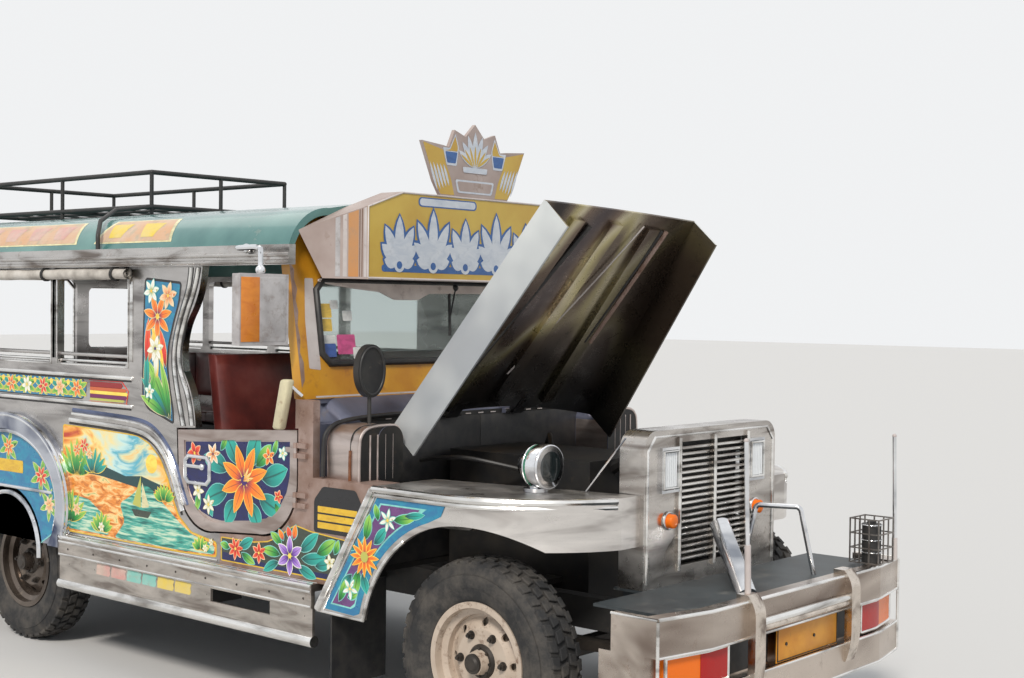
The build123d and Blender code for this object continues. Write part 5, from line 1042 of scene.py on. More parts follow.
# Columns: name, light, dark, grime, amount of grime
for name, light, dark, grime, dirt in (
    ("faded_aqua", (0.16, 0.5, 0.43), (0.3, 0.55, 0.48), (0.4, 0.36, 0.3), 0.8),
    ("faded_yellow", (0.75, 0.55, 0.06), (0.7, 0.55, 0.2), (0.45, 0.4, 0.32), 0.7),
    ("faded_pink", (0.6, 0.3, 0.27), (0.62, 0.45, 0.38), (0.45, 0.38, 0.32), 0.9),
):
    keep(worn(name, light, dark, grime, 0.45, size=10.0, dirt=dirt))
# Columns: rear end, front end, colour
PAINT_LEFT = [
    (-0.3, -0.19, "faded_pink"), (-0.185, -0.07, "faded_pink"), (-0.065, 0.045, "faded_aqua"),
    (0.05, 0.155, "faded_aqua"), (0.16, 0.28, "faded_yellow"), (0.284, 0.4, "faded_yellow"),
]
for start, end, tone in PAINT_LEFT:
    ragged = [
        (start, 0.428), (end - 0.01, 0.427), (end, 0.44), (end - 0.007, 0.456), (end + 0.002, 0.47),
        (end - 0.012, 0.481), (start + 0.008, 0.48), (start + 0.001, 0.455),
    ]
    patch(apron_art, ragged, 0.9576, tone, 0.003)
painted("apron_strips", apron_art)

# Roof: one curved sheet in faded teal enamel, with three painted panels along each side.
# Dust and dull streaks lie along the crown; the gutter rails below are stainless and stained in front.
roof_paint = worn(
    "roof_paint", (0.13, 0.29, 0.265), (0.045, 0.15, 0.145), (0.3, 0.3, 0.25), 0.24, coat=0.6, size=2.2, dirt=0.35,
    depth=0.002
)
coat_nodes(roof_paint, "roof_shell")
rail_metal = polished("rail_metal", (0.52, 0.5, 0.48), (0.2, 0.17, 0.15), (0.18, 0.1, 0.07), 0.22, 3.0, 0.6)
coat_nodes(rail_metal, "drip_rails")
EDGE_ARC = (-0.7431, 1.8344, 0.2156)
ROOF_ARC_FROM, ROOF_ARC_TO = 163.7, 89.2


def roof_panel(art, rear, front, low, high, tone, lift, skew):
    """A painted panel on the roof's rounded edge; low and high run from 0, the gutter, to 1, the crown."""
    middle_y, middle_z, radius = EDGE_ARC
    made = bmesh.ops.create_grid(art, x_segments=6, y_segments=8, size=0.5, calc_uvs=True)
    for vert in made["verts"]:
        across, up = vert.co.x + 0.5, vert.co.y + 0.5
        share = low + up * (high - low)
        turn = radians(ROOF_ARC_FROM + (ROOF_ARC_TO - ROOF_ARC_FROM) * share)
        x = rear + across * (front - rear) + skew * up * (1 if across > 0.5 else -1)
        vert.co = (x, middle_y + (radius + lift) * cos(turn), middle_z + (radius + lift) * sin(turn))
    for face in {face for vert in made["verts"] for face in vert.link_faces}:
        show(face, RIGHTWARD, PAINT[tone])


roof_art = canvas()
keep(worn("faded_peach", (0.62, 0.36, 0.2), (0.62, 0.45, 0.33), (0.3, 0.36, 0.3), 0.4, size=7.0, dirt=0.8))
# Columns: rear, front, field, spots
for rear, front, field, spots in (
    (-0.36, 0.22, "faded_peach", "faded_yellow"), (-1.45, -0.5, "faded_peach", "faded_pink"),
    (-2.5, -1.6, "faded_pink", "faded_aqua"),
):
    roof_panel(roof_art, rear, front, 0.1, 0.62, "cream_line", 0.0008, -0.05)
    roof_panel(roof_art, rear + 0.02, front - 0.02, 0.125, 0.595, field, 0.0014, -0.05)
    count = int((front - rear) / 0.2)
    for step in range(count):
        x = rear + 0.1 + step * (front - rear - 0.1) / count
        roof_panel(roof_art, x, x + 0.09, 0.2, 0.5, spots, 0.002, 0.03)
painted("roof_panels", roof_art)

rack_detail = bmesh.new()
for count in range(9):
    x = -0.75 - count * 0.17
    bar(rack_detail, (x, -0.42, 2.1395), (x, 0.42, 2.1395), 0.0045, 8)
finished("rack_cross_wires", rack_detail, [black_steel])

# Side curtains: beige canvas sheets, rolled up under the gutters and held by short straps.
# Each sheet is a spiral of four turns with a loose outer edge that sags between the straps.
canvas_cloth = surface("canvas_cloth", (0.42, 0.37, 0.3), 0.9)
weave = clouds(canvas_cloth, 7.0, detail=8.0, rough=0.65)
feed(
    canvas_cloth, "Base Color",
    shades(canvas_cloth, weave, (0.3, (0.3, 0.27, 0.24)), (0.5, (0.55, 0.51, 0.46)), (0.7, (0.68, 0.65, 0.61)))
)
dents(canvas_cloth, clouds(canvas_cloth, 90.0, detail=2.0), 0.0008, 0.4)
ROLL_Y, ROLL_Z, ROLL_REAR, ROLL_FRONT = 0.9603, 1.7847, -2.555, -0.065
ROLL_TURNS = 4.1
WOUND = 2 * pi * ROLL_TURNS
for side, word in SIDES:
    roll = bmesh.new()
    made = bmesh.ops.create_grid(roll, x_segments=96, y_segments=110, size=0.5)
    for vert in made["verts"]:
        along_x = ROLL_REAR + (vert.co.x + 0.5) * (ROLL_FRONT - ROLL_REAR)
        turn = (vert.co.y + 0.5) * WOUND
        sag = 0.0016 * sin(along_x * 9.0 + turn * 0.5) + 0.001 * sin(along_x * 31.0 + turn * 1.3)
        reach = 0.0095 + 0.0172 * (turn / WOUND) + sag * (turn / 26.0)
        y, z = ROLL_Y + reach * cos(turn + 1.9), ROLL_Z + reach * sin(turn + 1.9)
        vert.co = (along_x + 0.004 * sin(turn * 2.1), side * y, z)
    sheet = finished(f"curtain_{word}", roll, [canvas_cloth], 60)
    straps = bmesh.new()
    for count in range(5):
        x = -2.4 + count * 0.56
        ring = arc((ROLL_Y, ROLL_Z), 0.0295, range(0, 360, 30))
        for shift in (-0.006, 0, 0.006):
            tube(straps, [(x + shift, side * y, z) for y, z in ring], 0.0032, 0, True, True)
    finished(f"curtain_straps_{word}", straps, [black_edge])
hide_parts("curtain_rolls")

# Cushions: padded maroon vinyl pads on the benches and front boxes, with a soft piped edge.
# Every pad is soft foam in a sewn cover; the long pads are sewn in lengths.
BENCH_REAR, BENCH_PADS, PAD_LONG = -2.53, 5, 0.552
vinyl = surface("vinyl_cover", (0.11, 0.02, 0.018), 0.45, coat=0.15)
vinyl_wear = clouds(vinyl, 5.0, detail=6.0)
vinyl_tone = shades(
    vinyl, vinyl_wear, (0.35, (0.045, 0.008, 0.008)), (0.55, (0.13, 0.022, 0.018)), (0.75, (0.19, 0.05, 0.04))
)
feed(vinyl, "Base Color", vinyl_tone)
dents(vinyl, clouds(vinyl, 220.0, detail=3.0), 0.0004, 0.35)


def pad(shape, one, other, lean=0.0):
    """A crowned cushion between two corners: rounded all round and swollen in its broad faces."""
    sides = [sorted(pair) for pair in zip(one, other)]
    block = bmesh.new()
    bmesh.ops.create_cube(block, size=2.0)
    bmesh.ops.subdivide_edges(block, edges=block.edges[:], cuts=9, use_grid_fill=True)
    size = [high - low for low, high in sides]
    thin = size.index(min(size))
    for vert in block.verts:
        unit = list(vert.co)
        fall = 1.0
        for axis in range(3):
            if axis != thin:
                fall *= max(0.0, 1 - abs(unit[axis]) ** 5)
        for axis in range(3):
            value = unit[axis]
            if axis == thin:
                value *= 0.7 + 0.3 * min(1.0, fall * 1.25)
            else:
                value *= 1 - 0.05 * abs(unit[thin]) ** 4 * min(1.0, 0.2 / size[axis])
            vert.co[axis] = sum(sides[axis]) / 2 + value * size[axis] / 2
        vert.co.x += lean * (vert.co.z - sides[2][0])
    sewn = bpy.data.meshes.new("pad")
    block.to_mesh(sewn)
    block.free()
    shape.from_mesh(sewn)
    bpy.data.meshes.remove(sewn)


for side, word in SIDES:
    pads = bmesh.new()
    for count in range(BENCH_PADS):
        rear, front = BENCH_REAR + count * PAD_LONG + 0.001, BENCH_REAR + (count + 1) * PAD_LONG - 0.001
        pad(pads, (rear, side * 0.505, 0.96), (front, side * 0.89, 1.04))
        pad(pads, (rear, side * 0.838, 1.092), (front, side * 0.894, 1.354))
    pad(pads, (0.336, side * 0.066, 0.88), (0.754, side * 0.794, 0.98))
    pad(pads, (0.338, side * 0.066, 0.985), (0.422, side * 0.794, 1.438), lean=-0.152)
    cover = finished(f"cushions_{word}", pads, [vinyl], 60)
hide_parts("cushions")

# Windscreen frame: ochre enamel, chipped along its edges, round black rubber and a laminated pane.
# A white strip runs up beside the pane; a padded white visor hangs inside the top of the glass.
ochre = worn(
    "ochre_paint", (0.62, 0.31, 0.02), (0.5, 0.21, 0.012), (0.3, 0.1, 0.03), 0.36, coat=0.3, size=5.0, dirt=0.55,
    depth=0.001
)
coat_nodes(ochre, "windshield_frame")
cream_steel = worn("cream_steel", (0.62, 0.57, 0.55), (0.48, 0.42, 0.4), (0.25, 0.15, 0.1), 0.42, size=6.0, dirt=0.5)
blue_steel = worn("blue_steel", (0.19, 0.2, 0.27), (0.1, 0.11, 0.16), (0.3, 0.26, 0.24), 0.32, 0.5, size=4.0, dirt=0.5)
rust = worn("rusty_edge", (0.2, 0.07, 0.025), (0.1, 0.03, 0.012), (0.3, 0.2, 0.14), 0.75, size=14.0, dirt=0.7)


def screen_x(z, out=0.0):
    """The windscreen frame's front face at a height."""
    return 1.055 - 0.16 * (z - 1.285) + out


def screen_panel(shape, points, out, slot, round_by=0.0):
    """A flat field on the windscreen's raked plane from its (y, z) corners."""
    corners = [shape.verts.new((screen_x(z, out), y, z)) for y, z in points]
    show(shape.faces.new(corners), FORWARD, slot)
    if round_by:
        bmesh.ops.bevel(shape, geom=corners, offset=round_by, segments=5, profile=0.5, affect="VERTICES", material=-1)


seal = bmesh.new()
half, low, top = 0.797, 1.423, 1.757
loop = [
    (-half + 0.04, low), (half - 0.04, low), (half, low + 0.04), (half, top - 0.04), (half - 0.04, top),
    (-half + 0.04, top), (-half, top - 0.04), (-half, low + 0.04),
]
tube(seal, [(screen_x(z, 0.002), y, z) for y, z in loop], 0.015, 0, False, True, 3)
finished("screen_seal", seal, [black_edge])
# White strip and the bare, chipped outer edge, as (distance out, height)
STRIP = [(0.806, 1.765), (0.85, 1.765), (0.868, 1.6), (0.87, 1.405), (0.81, 1.398)]
BARE_EDGE = [
    (0.921, 1.83), (0.9, 1.8), (0.905, 1.76), (0.893, 1.72), (0.907, 1.68), (0.899, 1.63), (0.909, 1.58), (0.902, 1.52),
    (0.911, 1.47), (0.896, 1.43), (0.9, 1.36), (0.918, 1.33), (0.921, 1.5),
]
screen_dress = bmesh.new()
for side in (-1, 1):
    screen_panel(screen_dress, [(side * y, z) for y, z in STRIP], 0.0008, 0, 0.006)
    screen_panel(screen_dress, [(side * y, z) for y, z in BARE_EDGE], 0.0006, 1)
screen_panel(screen_dress, oblong(-0.85, 0.85, 1.296, 1.289), 0.001, 0)
finished("screen_strips", screen_dress, [cream_steel, pink_iron], 0)
visor_cloth = worn("visor_vinyl", (0.84, 0.74, 0.68), (0.62, 0.53, 0.49), (0.25, 0.17, 0.14), 0.55, size=7.0, dirt=0.5)
visor = bmesh.new()
points = [
    (-0.785, 1.764), (0.785, 1.764), (0.785, 1.716), (0.165, 1.715), (-0.15, 1.712), (-0.185, 1.7), (-0.225, 1.684),
    (-0.365, 1.684), (-0.41, 1.7), (-0.45, 1.716), (-0.6, 1.728), (-0.72, 1.742), (-0.785, 1.752),
]
screen_panel(visor, points, 0.0125, 0, 0.008)
bmesh.ops.solidify(visor, geom=visor.faces[:], thickness=0.008)
LABEL_COLOURS = {
    "label_yellow": (0.75, 0.5, 0.08), "label_white": (0.75, 0.75, 0.72), "label_pink": (0.62, 0.08, 0.25),
    "label_blue": (0.05, 0.12, 0.4),
}
labels = [paint(name, colour) for name, colour in LABEL_COLOURS.items()]
# Columns: middle y, middle z, half width, finish; each lies over the ones before it
LABELS = [
    (-0.742, 1.635, 0.036, 1), (-0.742, 1.577, 0.032, 1), (-0.622, 1.615, 0.026, 2), (-0.69, 1.66, 0.022, 2),
    (-0.732, 1.51, 0.032, 2), (-0.735, 1.475, 0.034, 4), (-0.643, 1.498, 0.05, 3), (-0.58, 1.462, 0.03, 2),
]
for count, (y, z, size, slot) in enumerate(LABELS):
    label = oblong(y - size, y + size, z - size * 0.8, z + size * 0.8)
    screen_panel(visor, label, -0.0195 + 0.0005 * count, slot, 0.006)
finished("visor_and_labels", visor, [visor_cloth] + labels, 0)
tinted = surface("screen_tint", (0.55, 0.62, 0.6), 0.06)
skin_of(tinted).inputs["Transmission Weight"].default_value = 0.93
skin_of(tinted).inputs["IOR"].default_value = 1.12
feed(tinted, "Roughness", between(tinted, clouds(tinted, 3.0, detail=6.0), 0.45, 0.8, 0.05, 0.2))
coat_nodes(tinted, "windshield_glass")
wipers = bmesh.new()
for y in (-0.035, 0.5):
    bar(wipers, (screen_x(1.713, 0.008), y + 0.012, 1.713), (screen_x(1.53, 0.008), y - 0.012, 1.53), 0.0065, 8)
    bar(wipers, (screen_x(1.735, 0.012), y + 0.05, 1.735), (screen_x(1.62, 0.014), y, 1.62), 0.004, 8)
    ball(wipers, (screen_x(1.74, 0.01), y + 0.05, 1.74), 0.016, 12, 8)
finished("wipers", wipers, [black_edge])

# Cowl: blue-grey steel over the firewall, with a black seal that runs down its corners.
# Its silver shoulders are dented and rust along their front edges; the firewall below is black, a painted shade for the
# deep shade under the open hood.
# Painted shade: near black for the cowl's faces inside the engine bay and the shoulders' end faces; it also colours the
# dark seam line on each shoulder.
black_joints_and_bay_shade = worn(
    "black_joints_and_bay_shade", (0.012, 0.013, 0.014), (0.03, 0.027, 0.024), (0.07, 0.05, 0.035), 0.5, 0.3, size=7.0, dirt=0.6
)


def lined(mesh, outside, inside, facing):
    """Puts one finish on the faces that look the way facing says, and the other on the rest."""
    mesh.materials.clear()
    mesh.materials.append(outside)
    mesh.materials.append(inside)
    for face in mesh.polygons:
        face.material_index = 0 if facing(face) else 1


def cowl_sheet(face):
    """Whether a face of the cowl lies outside the engine bay: behind, on top or at the corners."""
    return face.normal.x < 0.5 or face.center.z > 1.21 or (abs(face.center.y) > 0.6 and face.center.x < 1.25)


lined(nodes["cowl"].data, blue_steel, black_joints_and_bay_shade, cowl_sheet)
# Corner seal: x, distance out, z
SEAL_LINE = [
    (1.1665, 0.3, 1.2165), (1.1685, 0.512, 1.218), (1.17, 0.819, 1.207), (1.17, 0.896, 1.172), (1.17, 0.913, 1.12),
    (1.17, 0.913, 0.99),
]
cowl_dress = bmesh.new()
for side in (-1, 1):
    tube(cowl_dress, [(x, side * y, z) for x, y, z in SEAL_LINE], 0.009)
    # Painted shade: a black sheet over the firewall's face.
    slab(cowl_dress, (1.1655, side * 0.3975 - 0.3965, 0.6), (1.1685, side * 0.3975 + 0.3965, 1.19), 0.001, 0)
finished("cowl_seal_and_firewall_shade", cowl_dress, [black_edge, rust])
shoulder_skin = bmesh.new()
SHOULDER_PROFILE = [
    (0.892, 0.972), (0.895, 1.125), (0.878, 1.168), (0.835, 1.1905), (0.71, 1.1925), (0.68, 1.176), (0.664, 1.14),
    (0.6635, 0.972),
]
rear_face = shoulder_skin.faces.new([shoulder_skin.verts.new((1.171, -y, z)) for y, z in SHOULDER_PROFILE])
drawn_out = bmesh.ops.extrude_face_region(shoulder_skin, geom=[rear_face])["geom"]
front_verts = [part for part in drawn_out if isinstance(part, bmesh.types.BMVert)]
bmesh.ops.translate(shoulder_skin, verts=front_verts, vec=(0.185, 0, 0))
bmesh.ops.recalc_face_normals(shoulder_skin, faces=shoulder_skin.faces)
lengthwise = [edge for edge in shoulder_skin.edges if abs(edge.verts[0].co.x - edge.verts[1].co.x) > 0.1]
bmesh.ops.bevel(
    shoulder_skin, geom=lengthwise, offset=0.012, segments=3, profile=0.5, affect="EDGES", material=-1
)
# The shoulders' end faces take the near-black painted shade of the engine bay.
for face in shoulder_skin.faces:
    face.material_index = 1 if abs(face.normal.x) > 0.9 else 0
seam = [(0.8935, 0.978), (0.8965, 1.125), (0.88, 1.17), (0.835, 1.192), (0.71, 1.194), (0.682, 1.179), (0.664, 1.14)]
tube(shoulder_skin, [(1.305, -y, z) for y, z in seam], 0.003, 1)
tube(shoulder_skin, [(1.353, -y, z) for y, z in seam], 0.0065, 0)
tube(shoulder_skin, [(1.303, -0.8945, 0.976), (1.301, -0.896, 1.03), (1.306, -0.8965, 1.1)], 0.006, 2)
for y in (0.72, 0.76, 0.8, 0.84):
    bar(shoulder_skin, (1.3565, -y, 0.985), (1.3565, -y, 1.16), 0.004, 8, 0)
both_sides("shoulder_skins", shoulder_skin, [old_silver, black_joints_and_bay_shade, rust])
dashes = bmesh.new()
for count in range(15):
    y = -0.56 + count * 0.08
    slab(dashes, (1.1688, y - 0.016, 1.196), (1.1705, y + 0.016, 1.2), 0.0006)
finished("seam_dashes", dashes, [cream_steel], 0)
black_plastic = worn("black_plastic", (0.018, 0.018, 0.019), (0.035, 0.033, 0.03), (0.12, 0.1, 0.08), 0.42, size=9.0)
coat_nodes(black_plastic, "dashboard", "steering_wheel")
dash_parts = bmesh.new()
for y in (0.28, 0.38, 0.48):
    dial = Matrix.Translation((0.948, y, 1.19)) @ Matrix.Rotation(-pi / 2, 4, "Y")
    bmesh.ops.create_cone(dash_parts, cap_ends=True, segments=24, radius1=0.038, radius2=0.034, depth=0.01, matrix=dial)
for y in (-0.5, -0.36, -0.05, 0.05):
    slab(dash_parts, (0.942, y - 0.03, 1.15), (0.952, y + 0.03, 1.2), 0.004)
finished("dash_dials", dash_parts, [chrome])

# Mirrors: big painted-back mirrors on chrome arms, and black oval ones on the cowl's shoulders.
# The big backs are chalky white with a blank orange stripe; every glass is silvered.
chalk = worn("mirror_chalk", (0.52, 0.5, 0.5), (0.33, 0.31, 0.31), (0.2, 0.15, 0.12), 0.45, size=9.0, dirt=0.7)
mirror_cream = worn("mirror_cream", (0.66, 0.6, 0.4), (0.5, 0.44, 0.3), (0.25, 0.15, 0.08), 0.45, size=12.0, dirt=0.5)
lined(nodes["mirrors"].data, chalk, black_plastic, lambda face: abs(face.center.y) > 0.96 and face.center.z < 1.8)
silver_glass = surface("mirror_glass", (0.82, 0.86, 0.88), 0.04, 1.0)
feed(silver_glass, "Roughness", between(silver_glass, clouds(silver_glass, 14.0, detail=6.0), 0.4, 0.8, 0.03, 0.16))
# Arm of the big mirror: x, distance out, z
ARM_LINE = [
    (0.8, 0.984, 1.88), (0.8, 1.06, 1.88), (0.86, 1.07, 1.8805), (1.005, 1.098, 1.8805), (1.0105, 1.1, 1.86),
    (1.0105, 1.1, 1.775),
]
for side, word in SIDES:
    big = bmesh.new()
    slab(big, (0.9885, side * 0.978, 1.4985), (1.0375, side * 1.222, 1.7765), 0.02, 0, 4)
    slab(big, (1.0365, side * 1.215, 1.514), (1.0384, side * 1.125, 1.762), 0.0009, 1)
    slab(big, (0.9868, side * 0.992, 1.514), (0.9895, side * 1.208, 1.762), 0.0009, 2)
    stripe = paint(f"mirror_stripe_{word}", (0.72, 0.24, 0.02), (0.6, 0.16, 0.01))
    finished(f"mirror_shell_{word}", big, [chalk, stripe, silver_glass])
    arm = bmesh.new()
    tube(arm, [(x, side * y, z) for x, y, z in ARM_LINE], 0.0105)
    for place in ((0.8, side * 1.0, 1.88), (1.0105, side * 1.1, 1.79)):
        ball(arm, place, 0.02, 14, 10)
    finished(f"mirror_arm_{word}", arm, [chrome])
    oval = bmesh.new()
    ring = arc((side * 0.7325, 1.4), 0.066, range(0, 360, 20), 0.095)
    tube(oval, [(1.2515, y, z) for y, z in ring], 0.006, 0, True, True)
    made = bmesh.ops.create_circle(oval, cap_ends=True, segments=32, radius=1.0)
    place = Matrix.Translation((1.2212, side * 0.7325, 1.4)) @ Matrix.Rotation(-pi / 2, 4, "Y")
    bmesh.ops.transform(oval, matrix=place @ Matrix.Diagonal((0.09, 0.06, 1, 1)), verts=made["verts"])
    for face in {face for vert in made["verts"] for face in vert.link_faces}:
        face.material_index = 1
    finished(f"oval_mirror_{word}", oval, [black_plastic, silver_glass], 60)
    small = bmesh.new()
    slab(small, (0.955, side * 0.952, 1.165), (1.025, side * 0.99, 1.365), 0.012, 0, 3)
    for vert in small.verts:
        middle = 0.975 + 0.24 * (vert.co.z - 1.165) * (1 if vert.co.z > 1.26 else 0.4)
        vert.co.x = middle + (vert.co.x - 0.99) * (1.0 - 3.2 * abs(vert.co.z - 1.275))
    tube(small, [(1.06, side * 0.926, 1.3), (1.04, side * 0.955, 1.33), (1.02, side * 0.972, 1.36)], 0.007, 1)
    finished(f"small_mirror_{word}", small, [mirror_cream, chrome])

# Hood: pale steel outside, its lining painted with an olive, yellow and brown sheen between painted black shadows and
# pale ribs, and dark stains.
# The sheet is dented along its flanges; painted shade darkens the lining on its far side and towards the hinge.
hood_skin = surface("hood_skin", (0.6, 0.62, 0.62), 0.38, 0.25, 0.2)
OPEN_TILT = 49.0
tilt = radians(OPEN_TILT)
up_axis = Vector((-sin(tilt), 0.0, cos(tilt)))
spot = clouds(hood_skin, 5.0, detail=9.0, rough=0.65)
skin_tone = shades(
    hood_skin, clouds(hood_skin, 1.6, detail=3.0), (0.35, (0.36, 0.38, 0.4)), (0.55, (0.62, 0.64, 0.63)),
    (0.7, (0.74, 0.73, 0.7))
)
feed(hood_skin, "Base Color", mixed(hood_skin, between(hood_skin, spot, 0.64, 0.74), skin_tone, (0.3, 0.22, 0.16)))
feed(hood_skin, "Metallic", between(hood_skin, spot, 0.3, 0.7, 0.55, 0.15))
dents(hood_skin, clouds(hood_skin, 4.0, detail=2.0), 0.004, 0.35)
lining = surface("hood_lining", (0.3, 0.25, 0.1), 0.3, 0.6)
turned = add(lining, "Mapping", Vector=at_point(lining), Rotation=(0, tilt, 0))
along_hood = add(lining, "SeparateXYZ", Vector=turned.outputs[0])
drawn = add(lining, "Mapping", Vector=turned.outputs[0], Scale=(0.7, 1.9, 0.4))
# Painted sheen: stretched noise runs the lining from black through yellowish highlights and back to dark.
sheen = add(lining, "TexNoise", Vector=drawn.outputs[0], Scale=1.7, Detail=1.2, Roughness=0.4, Distortion=0.25)
lining_sheen_and_shade = shades(
    lining, sheen.outputs["Fac"], (0.34, (0.03, 0.022, 0.02)), (0.44, (0.15, 0.11, 0.075)), (0.5, (0.46, 0.4, 0.2)),
    (0.545, (0.56, 0.5, 0.34)), (0.6, (0.17, 0.12, 0.085)), (0.7, (0.05, 0.038, 0.045)),
)
# Painted shade: darker on the far side, and near black towards the hinge.
far_side_shade = between(lining, along_hood.outputs[1], 0.0, 0.34, 0.0, 0.82)
lining_sheen_and_shade = mixed(lining, far_side_shade, lining_sheen_and_shade, (0.05, 0.036, 0.026))
hinge_shade = between(lining, along_hood.outputs[0], 1.72, 2.35, 0.97, 0.0)
lining_sheen_and_shade = mixed(lining, hinge_shade, lining_sheen_and_shade, (0.008, 0.009, 0.011))
stain = clouds(lining, 9.0, detail=10.0, rough=0.72)
feed(lining, "Base Color", mixed(lining, between(lining, stain, 0.62, 0.7), lining_sheen_and_shade, (0.015, 0.012, 0.01)))
feed(lining, "Roughness", between(lining, stain, 0.35, 0.65, 0.2, 0.42))
dents(lining, clouds(lining, 10.0, detail=4.0), 0.0012, 0.4)

HINGE = Vector((1.18, 0.0, 1.2))
HOOD_HALVES, HOOD_CROWNS = (0.64, 0.478), (0.087, 0.008)
HOOD_FROM, HOOD_LONG, HOOD_END = 0.04, 1.091, 1.131
HOOD_TWIST = radians(3.0)
hood_along = Vector((cos(tilt), 0.0, sin(tilt)))


def at_reach(pair, reach):
    """A measure of the hood at a reach from its hinge, between its values at both ends."""
    return pair[0] + (pair[1] - pair[0]) * (reach - HOOD_FROM) / HOOD_LONG


def hood_outside(face):
    """Whether a face of the hood lies on its outer skin or flange, not on its lining, rims or ribs."""
    middle = face.center - HINGE
    if abs(middle.y) > at_reach(HOOD_HALVES, middle.dot(hood_along)) - 0.02:
        return face.normal.y * middle.y > 0
    return face.normal.dot(up_axis) > 0.2


lined(nodes["hood"].data, hood_skin, lining, hood_outside)
hood_dress = bmesh.new()
# Folded stiffeners, with black tubes (finish 1) as painted shadows. Columns: share across at the hinge, share at the
# free end, first and last reach, radius, finish
RIBS = [
    (-0.62, -0.3, 0.1, 1.05, 0.011, 1), (-0.2, 0.36, 0.25, 1.08, 0.0035, 0), (0.5, 0.66, 0.45, 1.07, 0.011, 2),
    (0.44, 0.6, 0.45, 1.07, 0.008, 1),
]
for hinge_share, free_share, first, last, radius, slot in RIBS:
    line = []
    for step in range(5):
        reach = first + (last - first) * step / 4
        share = hinge_share + (free_share - hinge_share) * reach / HOOD_END
        turn = -HOOD_TWIST * reach / HOOD_END
        side = share * at_reach(HOOD_HALVES, reach)
        drop = -at_reach(HOOD_CROWNS, reach) * share * share - 0.0215
        middle = HINGE + hood_along * reach
        line.append(tuple(middle + Vector((0, 1, 0)) * (side * cos(turn)) + up_axis * (side * sin(turn) + drop)))
    tube(hood_dress, line, radius, slot)
finished("hood_lining_folds_and_shadows", hood_dress, [cream_steel, black_edge, pink_iron], body="hood")

# Fenders: brushed stainless pans with a hammered, dented top, and a chrome bucket lamp on each.
# The lamps have a green enamel band, a chrome ring and a dark lens.
fender_metal = polished(
    "fender_metal", (0.66, 0.63, 0.6), (0.4, 0.37, 0.35), (0.3, 0.2, 0.14), 0.34, 2.6, 0.2, depth=0.003
)
coat_nodes(fender_metal, "fender_right", "fender_left")
green_band = paint("lamp_green", (0.02, 0.2, 0.11), (0.01, 0.1, 0.06))
dark_lens = worn(
    "dark_lens", (0.012, 0.017, 0.018), (0.022, 0.028, 0.03), (0.06, 0.055, 0.05), 0.06, coat=1.0, size=9.0, dirt=0.15,
    depth=0.0001
)
coat_nodes(chrome, "head_lamps")
LAMP_X, LAMP_Y = 2.02, 0.64
for side, word in SIDES:
    bucket = bmesh.new()
    y, z = side * LAMP_Y, 1.081
    for ahead, reach, radius in ((0.064, 0.0765, 0.0065), (0.045, 0.078, 0.003), (0.0, 0.0745, 0.0045)):
        ring = arc((y, z), reach, range(0, 360, 15))
        tube(bucket, [(LAMP_X + ahead, *place) for place in ring], radius, 0, True, True)
    band_place = Matrix.Translation((LAMP_X + 0.022, y, z)) @ Matrix.Rotation(pi / 2, 4, "Y")
    before = set(bucket.faces)
    bmesh.ops.create_cone(
        bucket, cap_ends=False, segments=40, radius1=0.0775, radius2=0.0788, depth=0.034, matrix=band_place
    )
    for face in set(bucket.faces) - before:
        face.material_index = 1
    ball(bucket, (LAMP_X + 0.066, y, z), 0.07, 28, 14, (0.1, 1, 1), 2)
    finished(f"bucket_lamp_{word}", bucket, [chrome, green_band, dark_lens], 60)
stay = bmesh.new()
bar(stay, (2.16, -0.52, 0.99), (2.337, -0.52, 1.1955), 0.0035, 8)
for side in (-1, 1):
    bar(stay, (LAMP_X, side * LAMP_Y, 0.9865), (LAMP_X, side * LAMP_Y, 1.0), 0.045, 24)
finished("hood_stay_and_lamp_feet", stay, [chrome])
engine_dress = bmesh.new()
for y in (-0.12, -0.04, 0.04, 0.12):
    bar(engine_dress, (1.57, y, 1.02), (1.57, y, 1.055), 0.024, 16)
tube(engine_dress, [(1.9, -0.05, 1.0), (2.0, -0.1, 1.05), (2.12, -0.16, 1.08), (2.24, -0.18, 1.09)], 0.026, 1)
tube(engine_dress, [(1.5, 0.1, 1.0), (1.35, 0.25, 1.1), (1.25, 0.38, 1.08), (1.18, 0.42, 1.0)], 0.012, 1)
tube(engine_dress, [(1.75, -0.2, 0.98), (1.6, -0.35, 1.03), (1.4, -0.42, 1.06), (1.2, -0.4, 1.02)], 0.009, 1)
air_cleaner = Matrix.Translation((1.78, 0.03, 1.02))
bmesh.ops.create_cone(
    engine_dress, cap_ends=True, segments=32, radius1=0.15, radius2=0.14, depth=0.07, matrix=air_cleaner
)
finished("engine_hoses", engine_dress, [greasy_iron, black_edge])

# Grille: stainless shell with a bank of bright louvres between bare posts, and square lamps beside them.
# The lens of each square lamp is ribbed glass in a chrome bezel; round amber markers sit below.
nose_metal = polished(
    "nose_metal", (0.54, 0.51, 0.48), (0.26, 0.23, 0.21), (0.2, 0.12, 0.07), 0.26, 3.0, 0.5, depth=0.003
)
coat_nodes(nose_metal, "grille_shell")
ribbed_glass = surface("ribbed_glass", (0.8, 0.82, 0.84), 0.12, 0.3, 0.8)
dents(ribbed_glass, clouds(ribbed_glass, 60.0, stretch=(1, 4, 1)), 0.004, 0.7)
amber = surface("amber_lens", (0.85, 0.17, 0.008), 0.2, coat=0.15)
red_lens = surface("red_lens", (0.42, 0.008, 0.006), 0.2, coat=0.15)
for made in (amber, red_lens):
    skin_of(made).inputs["Specular IOR Level"].default_value = 0.25
    dents(made, clouds(made, 90.0, detail=1.0), 0.002, 0.5)


def at_x(x, points):
    """Points (y, z) as places in the car, all at one x."""
    return [(x, y, z) for y, z in points]


